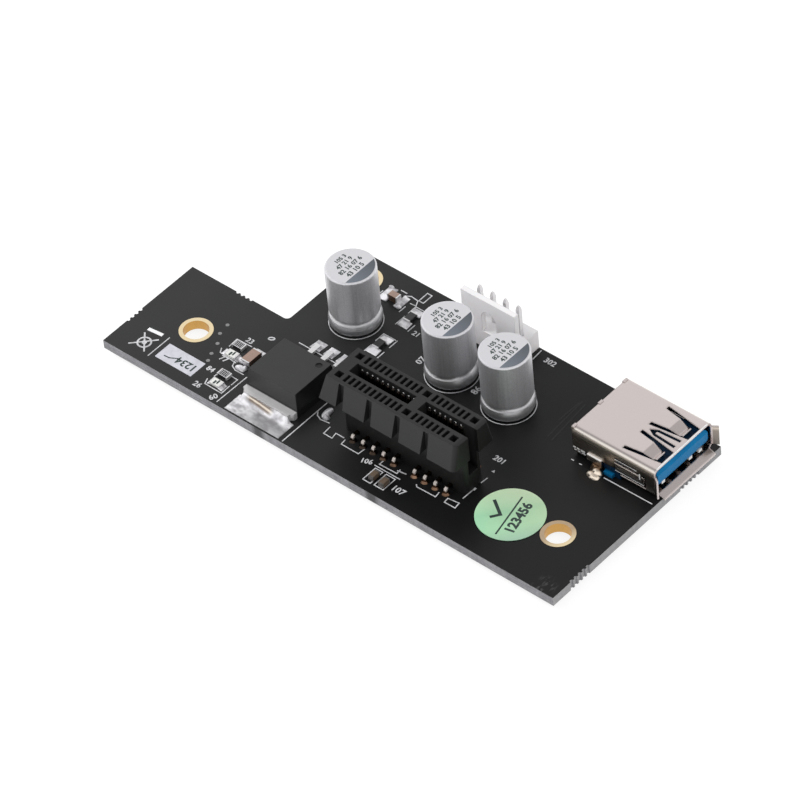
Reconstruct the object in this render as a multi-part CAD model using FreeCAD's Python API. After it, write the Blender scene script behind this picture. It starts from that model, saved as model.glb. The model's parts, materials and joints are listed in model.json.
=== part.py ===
import FreeCAD, Part
import os

from FreeCAD import Vector

# Riser card in millimetres. Each piece is drawn from the board's front left corner, with the
# board's top face at height 0, and is then moved so that the origin lies at the bottom centre.

# Circuit board
board_length = 88.0
board_width = 38.0
board_thickness = 1.6
left_end_length = 19.4
left_end_width = 19.9
notch_fillet = 0.8
lead_reach = 1.3

# Break-off marks: the edge, and where its row of half holes starts and ends
bite_radius = 0.3
bite_pitch = 0.9
bite_rows = [
    ("left", 5.6, 8.3),
    ("rear", 9.3, 12.0),
    ("right", 4.2, 7.8),
    ("right", 28.9, 32.5),
]

# Plated mounting holes
hole_radius = 2.0
land_radius = 2.65
land_thickness = 0.05
barrel_wall = 0.15
fit_clearance = 0.03
left_hole_x = 9.8
left_hole_y = 10.0
right_hole_from_middle = 36.4
right_hole_y = 10.2
rear_hole_from_notch = 3.6
rear_hole_inset = 4.5

# Leads, drilled holes and solder
drill_clearance = 0.16
solder_clearance = 0.02
cone_height = 0.8
cone_spread = 0.35
cone_tip = 0.12
collar_height = 0.3
collar_spread = 0.2

# Card slot
slot_from_middle = -3.8
slot_y = 10.1
slot_top = 11.25
slot_top_width = 7.06
block_floor = 6.75
block_flare = 1.03
block_end_round = 0.8
foot_width = 4.5
foot_left_inset = 1.0
foot_right_inset = 0.5
foot_corner = 1.2
card_gap = 2.0
gap_floor = 3.2
gap_inset = 2.15
contact_pitch = 1.0
contacts_before_key = 11
contacts_after_key = 7
first_contact_inset = 2.95
last_contact_inset = 3.1
key_skip = 2.0
key_width = 1.8
window_length = 1.5
window_width = 0.55
window_depth = 2.6
window_offset = 2.3
key_window = 1.15
end_window_offset = 1.5
rib_offset = 3.0
rib_pitch = 5.42
rib_count = 4
rib_width = 1.0
rib_depth = 1.3
rib_foot_width = 1.4
rib_foot_depth = 1.4
rib_lean = 0.15
rib_below_top = 0.3
contact_thickness = 0.3
contact_width = 0.48
contact_offset = 1.4
contact_clearance = 0.08
contact_bump = 0.72
contact_bump_below_top = 2.3
contact_tip_below_top = 1.1
chamber_below_top = 0.95
outer_row_offset = 3.47
outer_row_height = 0.92

# Electrolytic capacitors
can_radius = 3.95
can_height = 11.2
can_edge = 0.35
neck_height = 2.6
neck_half = 0.5
neck_depth = 0.35
bead_bulge = 0.2
bead_height = 1.2
bead_foot = 0.2
bead_tuck = 0.15
bung_radius = 3.1
bung_height = 1.7
capacitor_lead_radius = 0.3
capacitor_lead_pitch = 3.5
capacitor_row_inset = 11.95
left_capacitor_from_notch = 8.3
middle_capacitor_from_middle = 2.65
right_capacitor_from_middle = 13.65

# USB socket
usb_length = 15.4
usb_width = 13.1
usb_height = 5.6
usb_mouth_inset = 0.7
usb_stand = 0.45
usb_rear_inset = 7.6
usb_sheet = 0.3
usb_bend = 0.8
side_lip_reach = 1.0
side_lip_flare = 0.65
side_lip_low = 1.2
side_lip_below_top = 0.8
floor_lip_reach = 1.2
floor_lip_drop = 0.45
floor_lip_inset = 0.7
finger_spacing = 6.0
finger_root_inset = 6.9
finger_root_width = 3.4
finger_tip_inset = 1.6
finger_tip_width = 1.9
finger_slit = 0.62
finger_dip = 0.65
finger_tip_lift = 0.35
finger_bend_inset = 3.9
finger_turn_inset = 2.3
finger_window_inset = 0.3
vee_root_inset = 6.2
vee_root_length = 1.3
vee_root_width = 1.4
vee_mouth_inset = 0.9
vee_mouth_width = 1.9
vee_slit = 0.5
side_spring_front_inset = 1.7
side_spring_length = 5.8
side_spring_low = 1.2
side_spring_high = 3.5
side_spring_slit = 0.36
side_cut_rear = 2.2
side_cut_length = 6.7
side_cut_height = 1.9
leg_from_rear = 4.5
leg_width = 1.3
leg_plate_rear = 2.8
leg_plate_length = 2.75
leg_plate_low = 0.95
leg_plate_step = 0.25
leg_fillet_radius = 1.15
leg_fillet_top_radius = 0.75
leg_fillet_height = 0.85
floor_plate_rear = 7.2
insulator_clearance = 0.1
insulator_block = 6.2
insulator_lug_depth = 0.42
tongue_width = 11.4
tongue_thickness = 2.4
tongue_gap = 0.8
tongue_inset = 0.05
tongue_bevel = 0.45
tongue_side_round = 0.5
tongue_chin_height = 0.65
tongue_chin_depth = 0.2
usb_contact_width = 0.5
usb_contact_thickness = 0.25
usb_contact_dip = 0.45
usb_contact_hump = 1.8
usb_front_row = [-3.5, -1.0, 1.0, 3.5]
usb_front_tail = 3.4
usb_front_tip_inset = 4.2
usb_rear_row = [-4.3, -2.2, 0.0, 2.2, 4.3]
usb_rear_tail = 1.8
usb_rear_tip_inset = 0.7

# Four-pin power header
header_from_middle = 4.25
header_pitch = 2.5
header_pins = 4
header_end = 1.45
header_depth = 4.9
header_base = 3.4
header_wall = 0.9
header_wall_top = 9.9
header_window_width = 2.8
header_window_top = 7.7
header_pin_size = 0.64
header_pin_tip = 0.32
header_pin_top = 9.4
header_pin_taper = 0.7
header_pin_inset = 2.25

# Voltage regulator
regulator_from_middle = -14.4
regulator_front = 3.75
tab_width = 10.0
tab_lip = 1.45
tab_thickness = 1.3
tab_seat = 0.1
tab_notch = 0.6
regulator_width = 10.0
regulator_depth = 8.7
regulator_height = 4.4
regulator_draft = 0.35
regulator_dimple = 0.55
regulator_dimple_depth = 0.15
regulator_dimple_inset = 1.3
lead_pitch = 2.54
lead_width = 0.85
lead_thickness = 0.45
lead_exit = 2.5
lead_knee = 0.7
lead_run = 2.3
lead_foot = 2.2

# Chip parts: name, centre x and y from the group's corner, length direction, length, width, height
chip_seat = 0.06
chip_end = 0.22
chips_by_regulator = [
    ("input_chip_capacitor", -8.8, 10.3, "y", 3.0, 1.6, 0.85),
    ("left_rear_resistor", -12.1, 11.2, "x", 2.0, 1.25, 0.55),
    ("left_rear_lamp", -11.7, 9.2, "x", 2.0, 1.25, 0.45),
    ("left_front_resistor", -9.7, 5.3, "x", 2.0, 1.25, 0.55),
    ("left_front_lamp", -9.5, 3.3, "x", 2.0, 1.25, 0.45),
]
chips_by_notch = [
    ("rear_chip_capacitor", 10.05, -5.25, "x", 1.9, 1.1, 1.2),
    ("middle_resistor", 14.7, -14.0, "y", 2.0, 1.25, 0.55),
    ("rear_resistor", 14.7, -6.9, "y", 2.0, 1.25, 0.55),
]
chips_by_slot = [
    ("front_chip_capacitor_left", 11.5, 2.8, "y", 1.6, 0.9, 0.8),
    ("front_chip_capacitor_right", 13.6, 2.6, "y", 1.6, 0.9, 0.8),
]

# Round paper label
label_radius = 5.25
label_thickness = 0.08
label_seat = 0.06
label_gap = 2.0
label_y = 8.95

# Values that follow from the sizes above. Cuts run past a face by reach, and the middle of a quarter
# round lies inside its corner by round_middle times its radius.
board_floor = -board_thickness
lead_end = board_floor - lead_reach
reach = 1.0
same_point = 0.001
round_middle = 1 - 0.5 ** 0.5
middle_x = board_length / 2
slot_x = middle_x + slot_from_middle
regulator_x = middle_x + regulator_from_middle
header_centre_x = middle_x + header_from_middle
usb_mouth_x = board_length - usb_mouth_inset
usb_rear_x = usb_mouth_x - usb_length
usb_y = board_width - usb_rear_inset
usb_front_y = usb_y - usb_width / 2
usb_back_y = usb_y + usb_width / 2
usb_lip_x = usb_mouth_x + max(side_lip_reach, floor_lip_reach)
contact_count = contacts_before_key + contacts_after_key
contact_span = (contact_count - 1) * contact_pitch + key_skip
slot_end_x = slot_x + first_contact_inset + contact_span + last_contact_inset
foot_start_x = slot_x + foot_left_inset
foot_end_x = slot_end_x - foot_right_inset
capacitor_y = board_width - capacitor_row_inset
header_front_y = board_width - header_depth
header_pin_y = board_width - header_pin_inset
label_x = slot_end_x + label_gap + label_radius
header_half = (header_pins - 1) * header_pitch / 2 + header_end
reach_right = max(board_length, usb_lip_x)
origin_shift = Vector(-reach_right / 2, -board_width / 2, -lead_end)


# Basic shapes
def box(x, y, z):
    """A box from three (low, high) pairs."""
    return Part.makeBox(x[1] - x[0], y[1] - y[0], z[1] - z[0], Vector(x[0], y[0], z[0]))


def post(x, y, radius, z):
    """An upright cylinder between the two heights in z."""
    return Part.makeCylinder(radius, z[1] - z[0], Vector(x, y, z[0]))


def cone(x, y, low_radius, high_radius, z):
    """An upright cone between the two heights in z."""
    return Part.makeCone(low_radius, high_radius, z[1] - z[0], Vector(x, y, z[0]))


def around(middle, size):
    """The (low, high) pair of a size centred on a point."""
    return (middle - size / 2, middle + size / 2)


def prism(points, travel):
    """A closed outline, given as points in space, pushed along a vector."""
    return Part.Face(Part.makePolygon(points + points[:1])).extrude(travel)


def plate(outline, z):
    """A plan outline between the two heights in z."""
    return prism([Vector(x, y, z[0]) for x, y in outline], Vector(0, 0, z[1] - z[0]))


def loft(low, high):
    """A straight-sided solid between two closed outlines."""
    wires = [Part.makePolygon(points + points[:1]) for points in (low, high)]
    return Part.makeLoft(wires, True, True)


def level_rectangle(x, y, z):
    """Corners of a rectangle at one height."""
    corners = [(x[0], y[0]), (x[1], y[0]), (x[1], y[1]), (x[0], y[1])]
    return [Vector(corner_x, corner_y, z) for corner_x, corner_y in corners]


def ribbon(points, thickness):
    """Outline of a bent strip whose middle line runs through the points."""
    line = [Vector(a, b, 0) for a, b in points]
    runs = [(second - first).normalize() for first, second in zip(line, line[1:])]
    sides = [Vector(-run.y, run.x, 0) for run in runs]
    left = []
    right = []
    for index, point in enumerate(line):
        before = sides[max(index - 1, 0)]
        after = sides[min(index, len(sides) - 1)]
        mitre = (before + after) * (1 / (1 + before.dot(after)))
        left.append(point + mitre * (thickness / 2))
        right.append(point - mitre * (thickness / 2))
    return [(corner.x, corner.y) for corner in left + right[::-1]]


def strip_across(points, thickness, x):
    """A bent strip drawn in depth and height, with its width along the board."""
    corners = [Vector(x[0], depth, height) for depth, height in ribbon(points, thickness)]
    return prism(corners, Vector(x[1] - x[0], 0, 0))


def strip_along(points, thickness, y):
    """A bent strip drawn in length and height, with its width across the board."""
    corners = [Vector(length, y[0], height) for length, height in ribbon(points, thickness)]
    return prism(corners, Vector(0, y[1] - y[0], 0))


def save(name, solids):
    """Moves a piece to its place and writes it."""
    if len(solids) == 1:
        shape = solids[0].removeSplitter()
    else:
        shape = Part.makeCompound(solids)
    shape.translate(origin_shift)
    shape.exportStep("parts/" + name + ".step")


# Leads and their solder
def drill_radius(width, depth):
    """Radius of the drilled hole that clears a lead of this section."""
    return (width * width + depth * depth) ** 0.5 / 2 + drill_clearance


def solder_cone(x, y, width, depth):
    """Solder under the board round one lead, hollow where the lead passes."""
    radius = drill_radius(width, depth)
    low = board_floor - cone_height
    body = cone(x, y, radius - drill_clearance + cone_tip, radius + cone_spread, (low, board_floor))
    return body.cut(lead_passage(x, y, width, depth, (low - reach, board_floor + reach)))


def solder_collar(x, y, width, depth):
    """Solder on top of the board round one lead."""
    radius = drill_radius(width, depth)
    body = cone(x, y, radius + collar_spread, radius - drill_clearance + cone_tip, (0, collar_height))
    return body.cut(lead_passage(x, y, width, depth, (-reach, collar_height + reach)))


def lead_passage(x, y, width, depth, z):
    """The space that a rectangular lead takes in its solder."""
    return box(around(x, width + 2 * solder_clearance), around(y, depth + 2 * solder_clearance), z)


# Positions of the leads
def contact_x(index):
    """Place of one slot contact along the board."""
    skip = key_skip if index >= contacts_before_key else 0
    return slot_x + first_contact_inset + index * contact_pitch + skip


def in_outer_row(index):
    """True for every second tail, which stands outside the slot's foot."""
    return index % 2 == 1 if index < contacts_before_key else (index - contacts_before_key) % 2 == 0


def slot_tails():
    """Every slot tail as x, y and whether it is in an outer row."""
    tails = []
    for side in (-1, 1):
        for index in range(contact_count):
            outer = in_outer_row(index)
            offset = outer_row_offset if outer else contact_offset
            tails.append((contact_x(index), slot_y + side * offset, outer))
    return tails


def capacitor_leads_at(x):
    """Both leads of one capacitor."""
    return [(x - capacitor_lead_pitch / 2, capacitor_y), (x + capacitor_lead_pitch / 2, capacitor_y)]


def header_pins_at():
    """Every pin of the power header."""
    first = header_centre_x - (header_pins - 1) * header_pitch / 2
    return [(first + index * header_pitch, header_pin_y) for index in range(header_pins)]


def usb_tails():
    """Every signal tail of the USB socket, with how far its contact stops behind the mouth."""
    front_x = usb_rear_x + usb_front_tail
    rear_x = usb_rear_x + usb_rear_tail
    front = [(front_x, usb_y + offset, usb_front_tip_inset) for offset in usb_front_row]
    rear = [(rear_x, usb_y + offset, usb_rear_tip_inset) for offset in usb_rear_row]
    return front + rear


def usb_legs():
    """Both legs of the USB shell."""
    x = usb_rear_x + leg_from_rear
    return [(x, usb_front_y + usb_sheet / 2), (x, usb_back_y - usb_sheet / 2)]


mounting_holes = {
    "left": (left_hole_x, left_hole_y),
    "right": (middle_x + right_hole_from_middle, right_hole_y),
    "rear": (left_end_length + rear_hole_from_notch, board_width - rear_hole_inset),
}
capacitors = {
    "left": left_end_length + left_capacitor_from_notch,
    "middle": middle_x + middle_capacitor_from_middle,
    "right": middle_x + right_capacitor_from_middle,
}
chip_groups = [
    (regulator_x, 0, chips_by_regulator),
    (left_end_length, board_width, chips_by_notch),
    (slot_x, 0, chips_by_slot),
]


# Circuit board and plated holes
def bite_points():
    """Centres of the half holes left where the board was broken from its panel."""
    points = []
    for edge, start, end in bite_rows:
        for index in range(round((end - start) / bite_pitch) + 1):
            along = start + index * bite_pitch
            if edge == "rear":
                points.append((along, left_end_width))
            else:
                points.append((0 if edge == "left" else board_length, along))
    return points


def circuit_board():
    outline = [
        (0, 0),
        (board_length, 0),
        (board_length, board_width),
        (left_end_length, board_width),
        (left_end_length, left_end_width),
        (0, left_end_width),
    ]
    slab = plate(outline, (board_floor, 0))
    corner = Vector(left_end_length, left_end_width, board_floor)
    inner = [edge for edge in slab.Edges if is_upright_at(edge, corner)]
    slab = slab.makeFillet(notch_fillet, inner)
    through = (board_floor - reach, reach)
    ring_hole = hole_radius + barrel_wall + fit_clearance
    holes = [post(x, y, ring_hole, through) for x, y in mounting_holes.values()]
    holes += [post(x, y, bite_radius, through) for x, y in bite_points()]
    contact_hole = drill_radius(contact_width, contact_thickness)
    holes += [post(x, y, contact_hole, through) for x, y, outer in slot_tails()]
    round_lead = capacitor_lead_radius + drill_clearance
    for at in capacitors.values():
        holes += [post(x, y, round_lead, through) for x, y in capacitor_leads_at(at)]
    pin_hole = drill_radius(header_pin_size, header_pin_size)
    holes += [post(x, y, pin_hole, through) for x, y in header_pins_at()]
    signal_hole = drill_radius(usb_contact_width, usb_contact_thickness)
    holes += [post(x, y, signal_hole, through) for x, y, tip_inset in usb_tails()]
    leg_hole = drill_radius(leg_width, usb_sheet)
    holes += [post(x, y, leg_hole, through) for x, y in usb_legs()]
    return slab.cut(holes)


def is_upright_at(edge, corner):
    """True for the upright edge that stands on this corner."""
    flat = [Vector(vertex.X, vertex.Y, corner.z) for vertex in edge.Vertexes]
    return all(point.isEqual(corner, same_point) for point in flat)


def hole_plating(x, y):
    barrel = post(x, y, hole_radius + barrel_wall, (board_floor, 0))
    top_land = post(x, y, land_radius, (0, land_thickness))
    bottom_land = post(x, y, land_radius, (board_floor - land_thickness, board_floor))
    bore = post(x, y, hole_radius, (board_floor - reach, reach))
    return barrel.fuse([top_land, bottom_land]).cut(bore)


# Card slot
def slot_foot():
    foot = box((foot_start_x, foot_end_x), around(slot_y, foot_width), (0, block_floor))
    uprights = [edge for edge in foot.Edges if abs(edge.Vertexes[0].Z - edge.Vertexes[-1].Z) > reach]
    return foot.makeFillet(foot_corner, uprights)


def slot_blocks():
    low_width = slot_top_width + 2 * block_flare
    low = block_outline(slot_x - block_flare, around(slot_y, low_width), block_floor)
    high = block_outline(slot_x, around(slot_y, slot_top_width), slot_top)
    return Part.makeLoft([low, high], True, True)


def block_outline(start_x, y, z):
    """Outline of the blocks at one height, with the corners of the open end rounded."""
    round_x = slot_end_x - block_end_round
    soft = block_end_round * round_middle
    near = y[0] + block_end_round
    far = y[1] - block_end_round
    side = Part.makePolygon([Vector(round_x, y[1], z), Vector(start_x, y[1], z)])
    rest = Part.makePolygon([Vector(start_x, y[1], z), Vector(start_x, y[0], z), Vector(round_x, y[0], z)])
    end = Part.makeLine(Vector(slot_end_x, near, z), Vector(slot_end_x, far, z))
    corners = []
    for first, middle, last in (
        ((round_x, y[0]), (slot_end_x - soft, y[0] + soft), (slot_end_x, near)),
        ((slot_end_x, far), (slot_end_x - soft, y[1] - soft), (round_x, y[1])),
    ):
        points = [Vector(corner_x, corner_y, z) for corner_x, corner_y in (first, middle, last)]
        corners.append(Part.Arc(*points).toShape())
    return Part.Wire(rest.Edges + [corners[0], end, corners[1]] + side.Edges)


def slot_housing():
    key_x = (contact_x(contacts_before_key - 1) + contact_x(contacts_before_key)) / 2
    gap_y = around(slot_y, card_gap)
    above = slot_top + reach
    cuts = [
        box((slot_x + gap_inset, key_x - key_width / 2), gap_y, (gap_floor, above)),
        box((key_x + key_width / 2, slot_end_x + reach), gap_y, (gap_floor, above)),
    ]
    deck = (slot_top - window_depth, above)
    first_x = contact_x(0) - end_window_offset
    last_x = contact_x(contact_count - 1) + end_window_offset
    for side in (-1, 1):
        row_y = slot_y + side * window_offset
        for x in (first_x, key_x, last_x):
            cuts.append(box(around(x, key_window), around(row_y, key_window), deck))
        for index in range(contact_count):
            x = contact_x(index)
            cuts.append(box(around(x, window_width), around(row_y, window_length), deck))
            cuts += contact_chamber(x, side, in_outer_row(index))
        cuts += rib_grooves(side)
    return slot_foot().fuse(slot_blocks()).cut(cuts)


def contact_chamber(x, side, outer):
    """The space in the housing for one contact, and the way out for an outer tail."""
    width = around(x, contact_width + 2 * contact_clearance)
    wall = contact_offset + contact_thickness / 2 + contact_clearance
    inner = sorted((slot_y + side * (card_gap / 2 - contact_clearance), slot_y + side * wall))
    spaces = [box(width, inner, (-reach, slot_top - chamber_below_top))]
    if outer:
        way = sorted((slot_y + side * contact_offset, slot_y + side * (foot_width / 2 + reach)))
        top = outer_row_height + contact_thickness / 2 + contact_clearance
        spaces.append(box(width, way, (-reach, top)))
    return spaces


def rib_grooves(side):
    """Upright grooves that part the flared side into blocks."""
    face = slot_top_width / 2 + block_flare
    outside = slot_y + side * (face + reach)
    low_y = sorted((slot_y + side * (face - rib_foot_depth), outside))
    high_y = sorted((slot_y + side * (face - rib_depth), outside))
    grooves = []
    for index in range(rib_count):
        middle = slot_x + rib_offset + index * rib_pitch
        low = level_rectangle(around(middle - rib_lean, rib_foot_width), low_y, block_floor - reach)
        high = level_rectangle(around(middle, rib_width), high_y, slot_top - rib_below_top)
        grooves.append(loft(low, high))
    return grooves


def slot_contacts(side):
    bump = (contact_bump, slot_top - contact_bump_below_top)
    tip = (contact_offset - contact_thickness, slot_top - contact_tip_below_top)
    root = (contact_offset, gap_floor + contact_pitch)
    bend = contact_thickness
    soft = bend * round_middle
    solids = []
    for index in range(contact_count):
        if in_outer_row(index):
            path = [
                (outer_row_offset, lead_end),
                (outer_row_offset, outer_row_height - bend),
                (outer_row_offset - soft, outer_row_height - soft),
                (outer_row_offset - bend, outer_row_height),
                (contact_offset, outer_row_height),
            ]
        else:
            path = [(contact_offset, lead_end)]
        path = [(slot_y + side * depth, height) for depth, height in path + [root, bump, tip]]
        solids.append(strip_across(path, contact_thickness, around(contact_x(index), contact_width)))
    return solids


def slot_solder():
    tails = slot_tails()
    under = [solder_cone(x, y, contact_width, contact_thickness) for x, y, outer in tails]
    over = [solder_collar(x, y, contact_width, contact_thickness) for x, y, outer in tails if outer]
    return under + over


# Electrolytic capacitors
def arc(first, middle, last):
    """A round stretch of a profile through three (radius, height) points."""
    points = [Vector(radius, 0, height) for radius, height in (first, middle, last)]
    return Part.Arc(*points).toShape()


def line(first, last):
    """A straight stretch of a profile between two (radius, height) points."""
    return Part.makeLine(Vector(first[0], 0, first[1]), Vector(last[0], 0, last[1]))


def capacitor_can(x):
    soft = can_edge * round_middle
    top = (0, can_height)
    edge_in = (can_radius - can_edge, can_height)
    edge_out = (can_radius, can_height - can_edge)
    neck_top = (can_radius, neck_height + neck_half)
    neck_low = (can_radius, neck_height - neck_half)
    bead_low = (can_radius - bead_tuck, bead_foot)
    seat_low = (bung_radius + fit_clearance, bead_foot)
    seat_top = (bung_radius + fit_clearance, bung_height + fit_clearance)
    centre = (0, bung_height + fit_clearance)
    profile = [
        line(top, edge_in),
        arc(edge_in, (can_radius - soft, can_height - soft), edge_out),
        line(edge_out, neck_top),
        arc(neck_top, (can_radius - neck_depth, neck_height), neck_low),
        arc(neck_low, (can_radius + bead_bulge, bead_height), bead_low),
        line(bead_low, seat_low),
        line(seat_low, seat_top),
        line(seat_top, centre),
        line(centre, top),
    ]
    turned = Part.Face(Part.Wire(profile)).revolve(Vector(0, 0, 0), Vector(0, 0, 1), 360)
    can = Part.Solid(turned) if turned.ShapeType == "Shell" else turned
    can.translate(Vector(x, capacitor_y, 0))
    return can


def capacitor_bung(x):
    bung = post(x, capacitor_y, bung_radius, (0, bung_height))
    passage = capacitor_lead_radius + fit_clearance
    return bung.cut([post(at, y, passage, (-reach, bung_height + reach)) for at, y in capacitor_leads_at(x)])


def capacitor_leads(x):
    return [post(at, y, capacitor_lead_radius, (lead_end, bung_height)) for at, y in capacitor_leads_at(x)]


def capacitor_solder():
    solids = []
    low = board_floor - cone_height
    passage = capacitor_lead_radius + fit_clearance
    for at in capacitors.values():
        for x, y in capacitor_leads_at(at):
            foot = capacitor_lead_radius + drill_clearance + cone_spread
            body = cone(x, y, capacitor_lead_radius + cone_tip, foot, (low, board_floor))
            solids.append(body.cut(post(x, y, passage, (low - reach, board_floor + reach))))
    return solids


# USB socket
def usb_tube(inset):
    """The folded box of the shell, drawn in by a wall thickness."""
    rear = usb_rear_x + inset
    front = usb_mouth_x + (reach if inset else 0)
    height = (usb_stand + inset, usb_height - inset)
    tube = box((rear, front), (usb_front_y + inset, usb_back_y - inset), height)
    edges = [edge for edge in tube.Edges if abs(edge.Vertexes[0].X - edge.Vertexes[-1].X) > reach]
    return tube.makeFillet(usb_bend - inset / 2, edges)


def usb_lips():
    """Lips that stand out from the mouth: flared from the side walls, and turned down from the floor."""
    start_x = usb_mouth_x - usb_sheet
    tip = (usb_mouth_x + floor_lip_reach, usb_stand - floor_lip_drop)
    under = [(start_x, usb_stand), (usb_mouth_x, usb_stand), tip]
    over = [(x, z + usb_sheet) for x, z in reversed(under)]
    floor_y = usb_front_y + floor_lip_inset
    floor_width = usb_width - 2 * floor_lip_inset
    lips = [prism([Vector(x, floor_y, z) for x, z in under + over], Vector(0, floor_width, 0))]
    for wall, side in ((usb_front_y, -1), (usb_back_y, 1)):
        middle = wall - side * usb_sheet / 2
        path = [
            (start_x, middle),
            (usb_mouth_x, middle),
            (usb_mouth_x + side_lip_reach, middle + side * side_lip_flare),
        ]
        lips.append(plate(ribbon(path, usb_sheet), (side_lip_low, usb_height - side_lip_below_top)))
    return lips


def finger_outline(middle, spread, tip_x):
    """Plan of a spring finger, or of the window round it when spread out by the slit."""
    root_x = usb_mouth_x - finger_root_inset
    slope = (finger_root_width - finger_tip_width) / (finger_root_inset - finger_tip_inset)
    tip_width = finger_root_width - slope * (tip_x - root_x) + 2 * spread
    root_width = finger_root_width + 2 * spread
    return [
        (root_x, middle - root_width / 2),
        (tip_x, middle - tip_width / 2),
        (tip_x, middle + tip_width / 2),
        (root_x, middle + root_width / 2),
    ]


def spring_finger(middle):
    """A finger that dips from the shell's top towards the mouth."""
    skin = usb_height - usb_sheet / 2
    root_x = usb_mouth_x - finger_root_inset
    bend_x = usb_mouth_x - finger_bend_inset
    tip_x = usb_mouth_x - finger_tip_inset
    turn_x = usb_mouth_x - finger_turn_inset
    low = skin - finger_dip
    path = [(root_x, skin), (bend_x, skin), (turn_x, low), (tip_x, low + finger_tip_lift)]
    bent = strip_along(path, usb_sheet, around(middle, finger_root_width))
    plan = plate(finger_outline(middle, 0, tip_x), (0, usb_height + reach))
    return bent.common(plan)


def vee_slits():
    """The centre cut of the shell's top: one root and two slits that part towards the mouth."""
    root_x = usb_mouth_x - vee_root_inset
    split_x = root_x + vee_root_length
    mouth_x = usb_mouth_x - vee_mouth_inset
    skin = (usb_height - 2 * usb_sheet, usb_height + reach)
    root = around(usb_y, vee_root_width)
    cuts = [plate([(root_x, usb_y), (split_x, root[0]), (split_x, root[1])], skin)]
    for side in (-1, 1):
        near = usb_y + side * vee_root_width / 2
        far = usb_y + side * vee_mouth_width / 2
        slit = side * vee_slit
        outline = [(split_x, near), (mouth_x, far), (mouth_x, far - slit), (split_x, near - slit)]
        cuts.append(plate(outline, skin))
    return cuts


def side_cuts():
    """Openings in both side walls: round the legs, and round the side springs."""
    cuts = []
    spring_end = usb_mouth_x - side_spring_front_inset
    spring_start = spring_end - side_spring_length
    slit = side_spring_slit
    for wall in (usb_front_y, usb_back_y - usb_sheet):
        y = (wall - usb_sheet, wall + 2 * usb_sheet)
        rear = usb_rear_x + side_cut_rear
        leg_x = around(usb_rear_x + leg_from_rear, leg_width)
        cuts.append(box((rear, leg_x[0]), y, (-reach, side_cut_height)))
        cuts.append(box((leg_x[1], rear + side_cut_length), y, (-reach, side_cut_height)))
        cuts.append(box((spring_start, spring_end), y, (side_spring_high - slit, side_spring_high)))
        cuts.append(box((spring_start, spring_end), y, (side_spring_low, side_spring_low + slit)))
        cuts.append(box((spring_end - slit, spring_end), y, (side_spring_low, side_spring_high)))
    return cuts


def leg_plates():
    """A plate stepped out from each side wall in front of its leg."""
    x = (usb_rear_x + leg_plate_rear, usb_rear_x + leg_plate_rear + leg_plate_length)
    ledge_z = around(side_cut_height, usb_sheet)
    plates = []
    for wall, side in ((usb_front_y, -1), (usb_back_y, 1)):
        face = wall + side * leg_plate_step
        plates.append(box(x, sorted((face, wall - side * usb_sheet)), ledge_z))
        plates.append(box(x, sorted((face, face - side * usb_sheet)), (leg_plate_low, ledge_z[1])))
    return plates


def usb_shell():
    shell = usb_tube(0).cut(usb_tube(usb_sheet)).fuse(usb_lips())
    clear = (usb_front_y + usb_sheet, usb_back_y - usb_sheet)
    skin = (usb_height - 2 * usb_sheet, usb_height + reach)
    window_end = usb_mouth_x - finger_window_inset
    middles = [usb_y - finger_spacing / 2, usb_y + finger_spacing / 2]
    cuts = [plate(finger_outline(middle, finger_slit, window_end), skin) for middle in middles]
    cuts += vee_slits() + side_cuts()
    rear_opening = (usb_rear_x + usb_sheet, usb_rear_x + floor_plate_rear)
    cuts.append(box(rear_opening, clear, (-reach, usb_stand + usb_bend)))
    leg_z = (lead_end, usb_sheet + side_cut_height)
    legs = [box(around(x, leg_width), around(y, usb_sheet), leg_z) for x, y in usb_legs()]
    fingers = [spring_finger(middle) for middle in middles]
    return shell.cut(cuts).fuse(fingers + legs + leg_plates())


def usb_contact_height():
    """Underside of the tongue, where the contacts lie."""
    return usb_height - usb_sheet - tongue_gap - tongue_thickness


def usb_tongue(start_x):
    """The tongue, with a bevelled brow, a drawn-in chin and rounded upper sides."""
    low = usb_contact_height()
    high = low + tongue_thickness
    tip_x = usb_mouth_x - tongue_inset
    profile = [
        (start_x, low),
        (tip_x - tongue_chin_depth, low),
        (tip_x, low + tongue_chin_height),
        (tip_x, high - tongue_bevel),
        (tip_x - tongue_bevel, high),
        (start_x, high),
    ]
    side_y = usb_y - tongue_width / 2
    tongue = prism([Vector(x, side_y, z) for x, z in profile], Vector(0, tongue_width, 0))
    upper = [edge for edge in tongue.Edges if runs_along_at(edge, high)]
    return tongue.makeFillet(tongue_side_round, upper)


def runs_along_at(edge, z):
    """True for an edge that runs along the board at this height."""
    first, last = edge.Vertexes[0], edge.Vertexes[-1]
    level = abs(first.Z - z) < same_point and abs(last.Z - z) < same_point
    return level and abs(first.X - last.X) > reach


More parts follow.
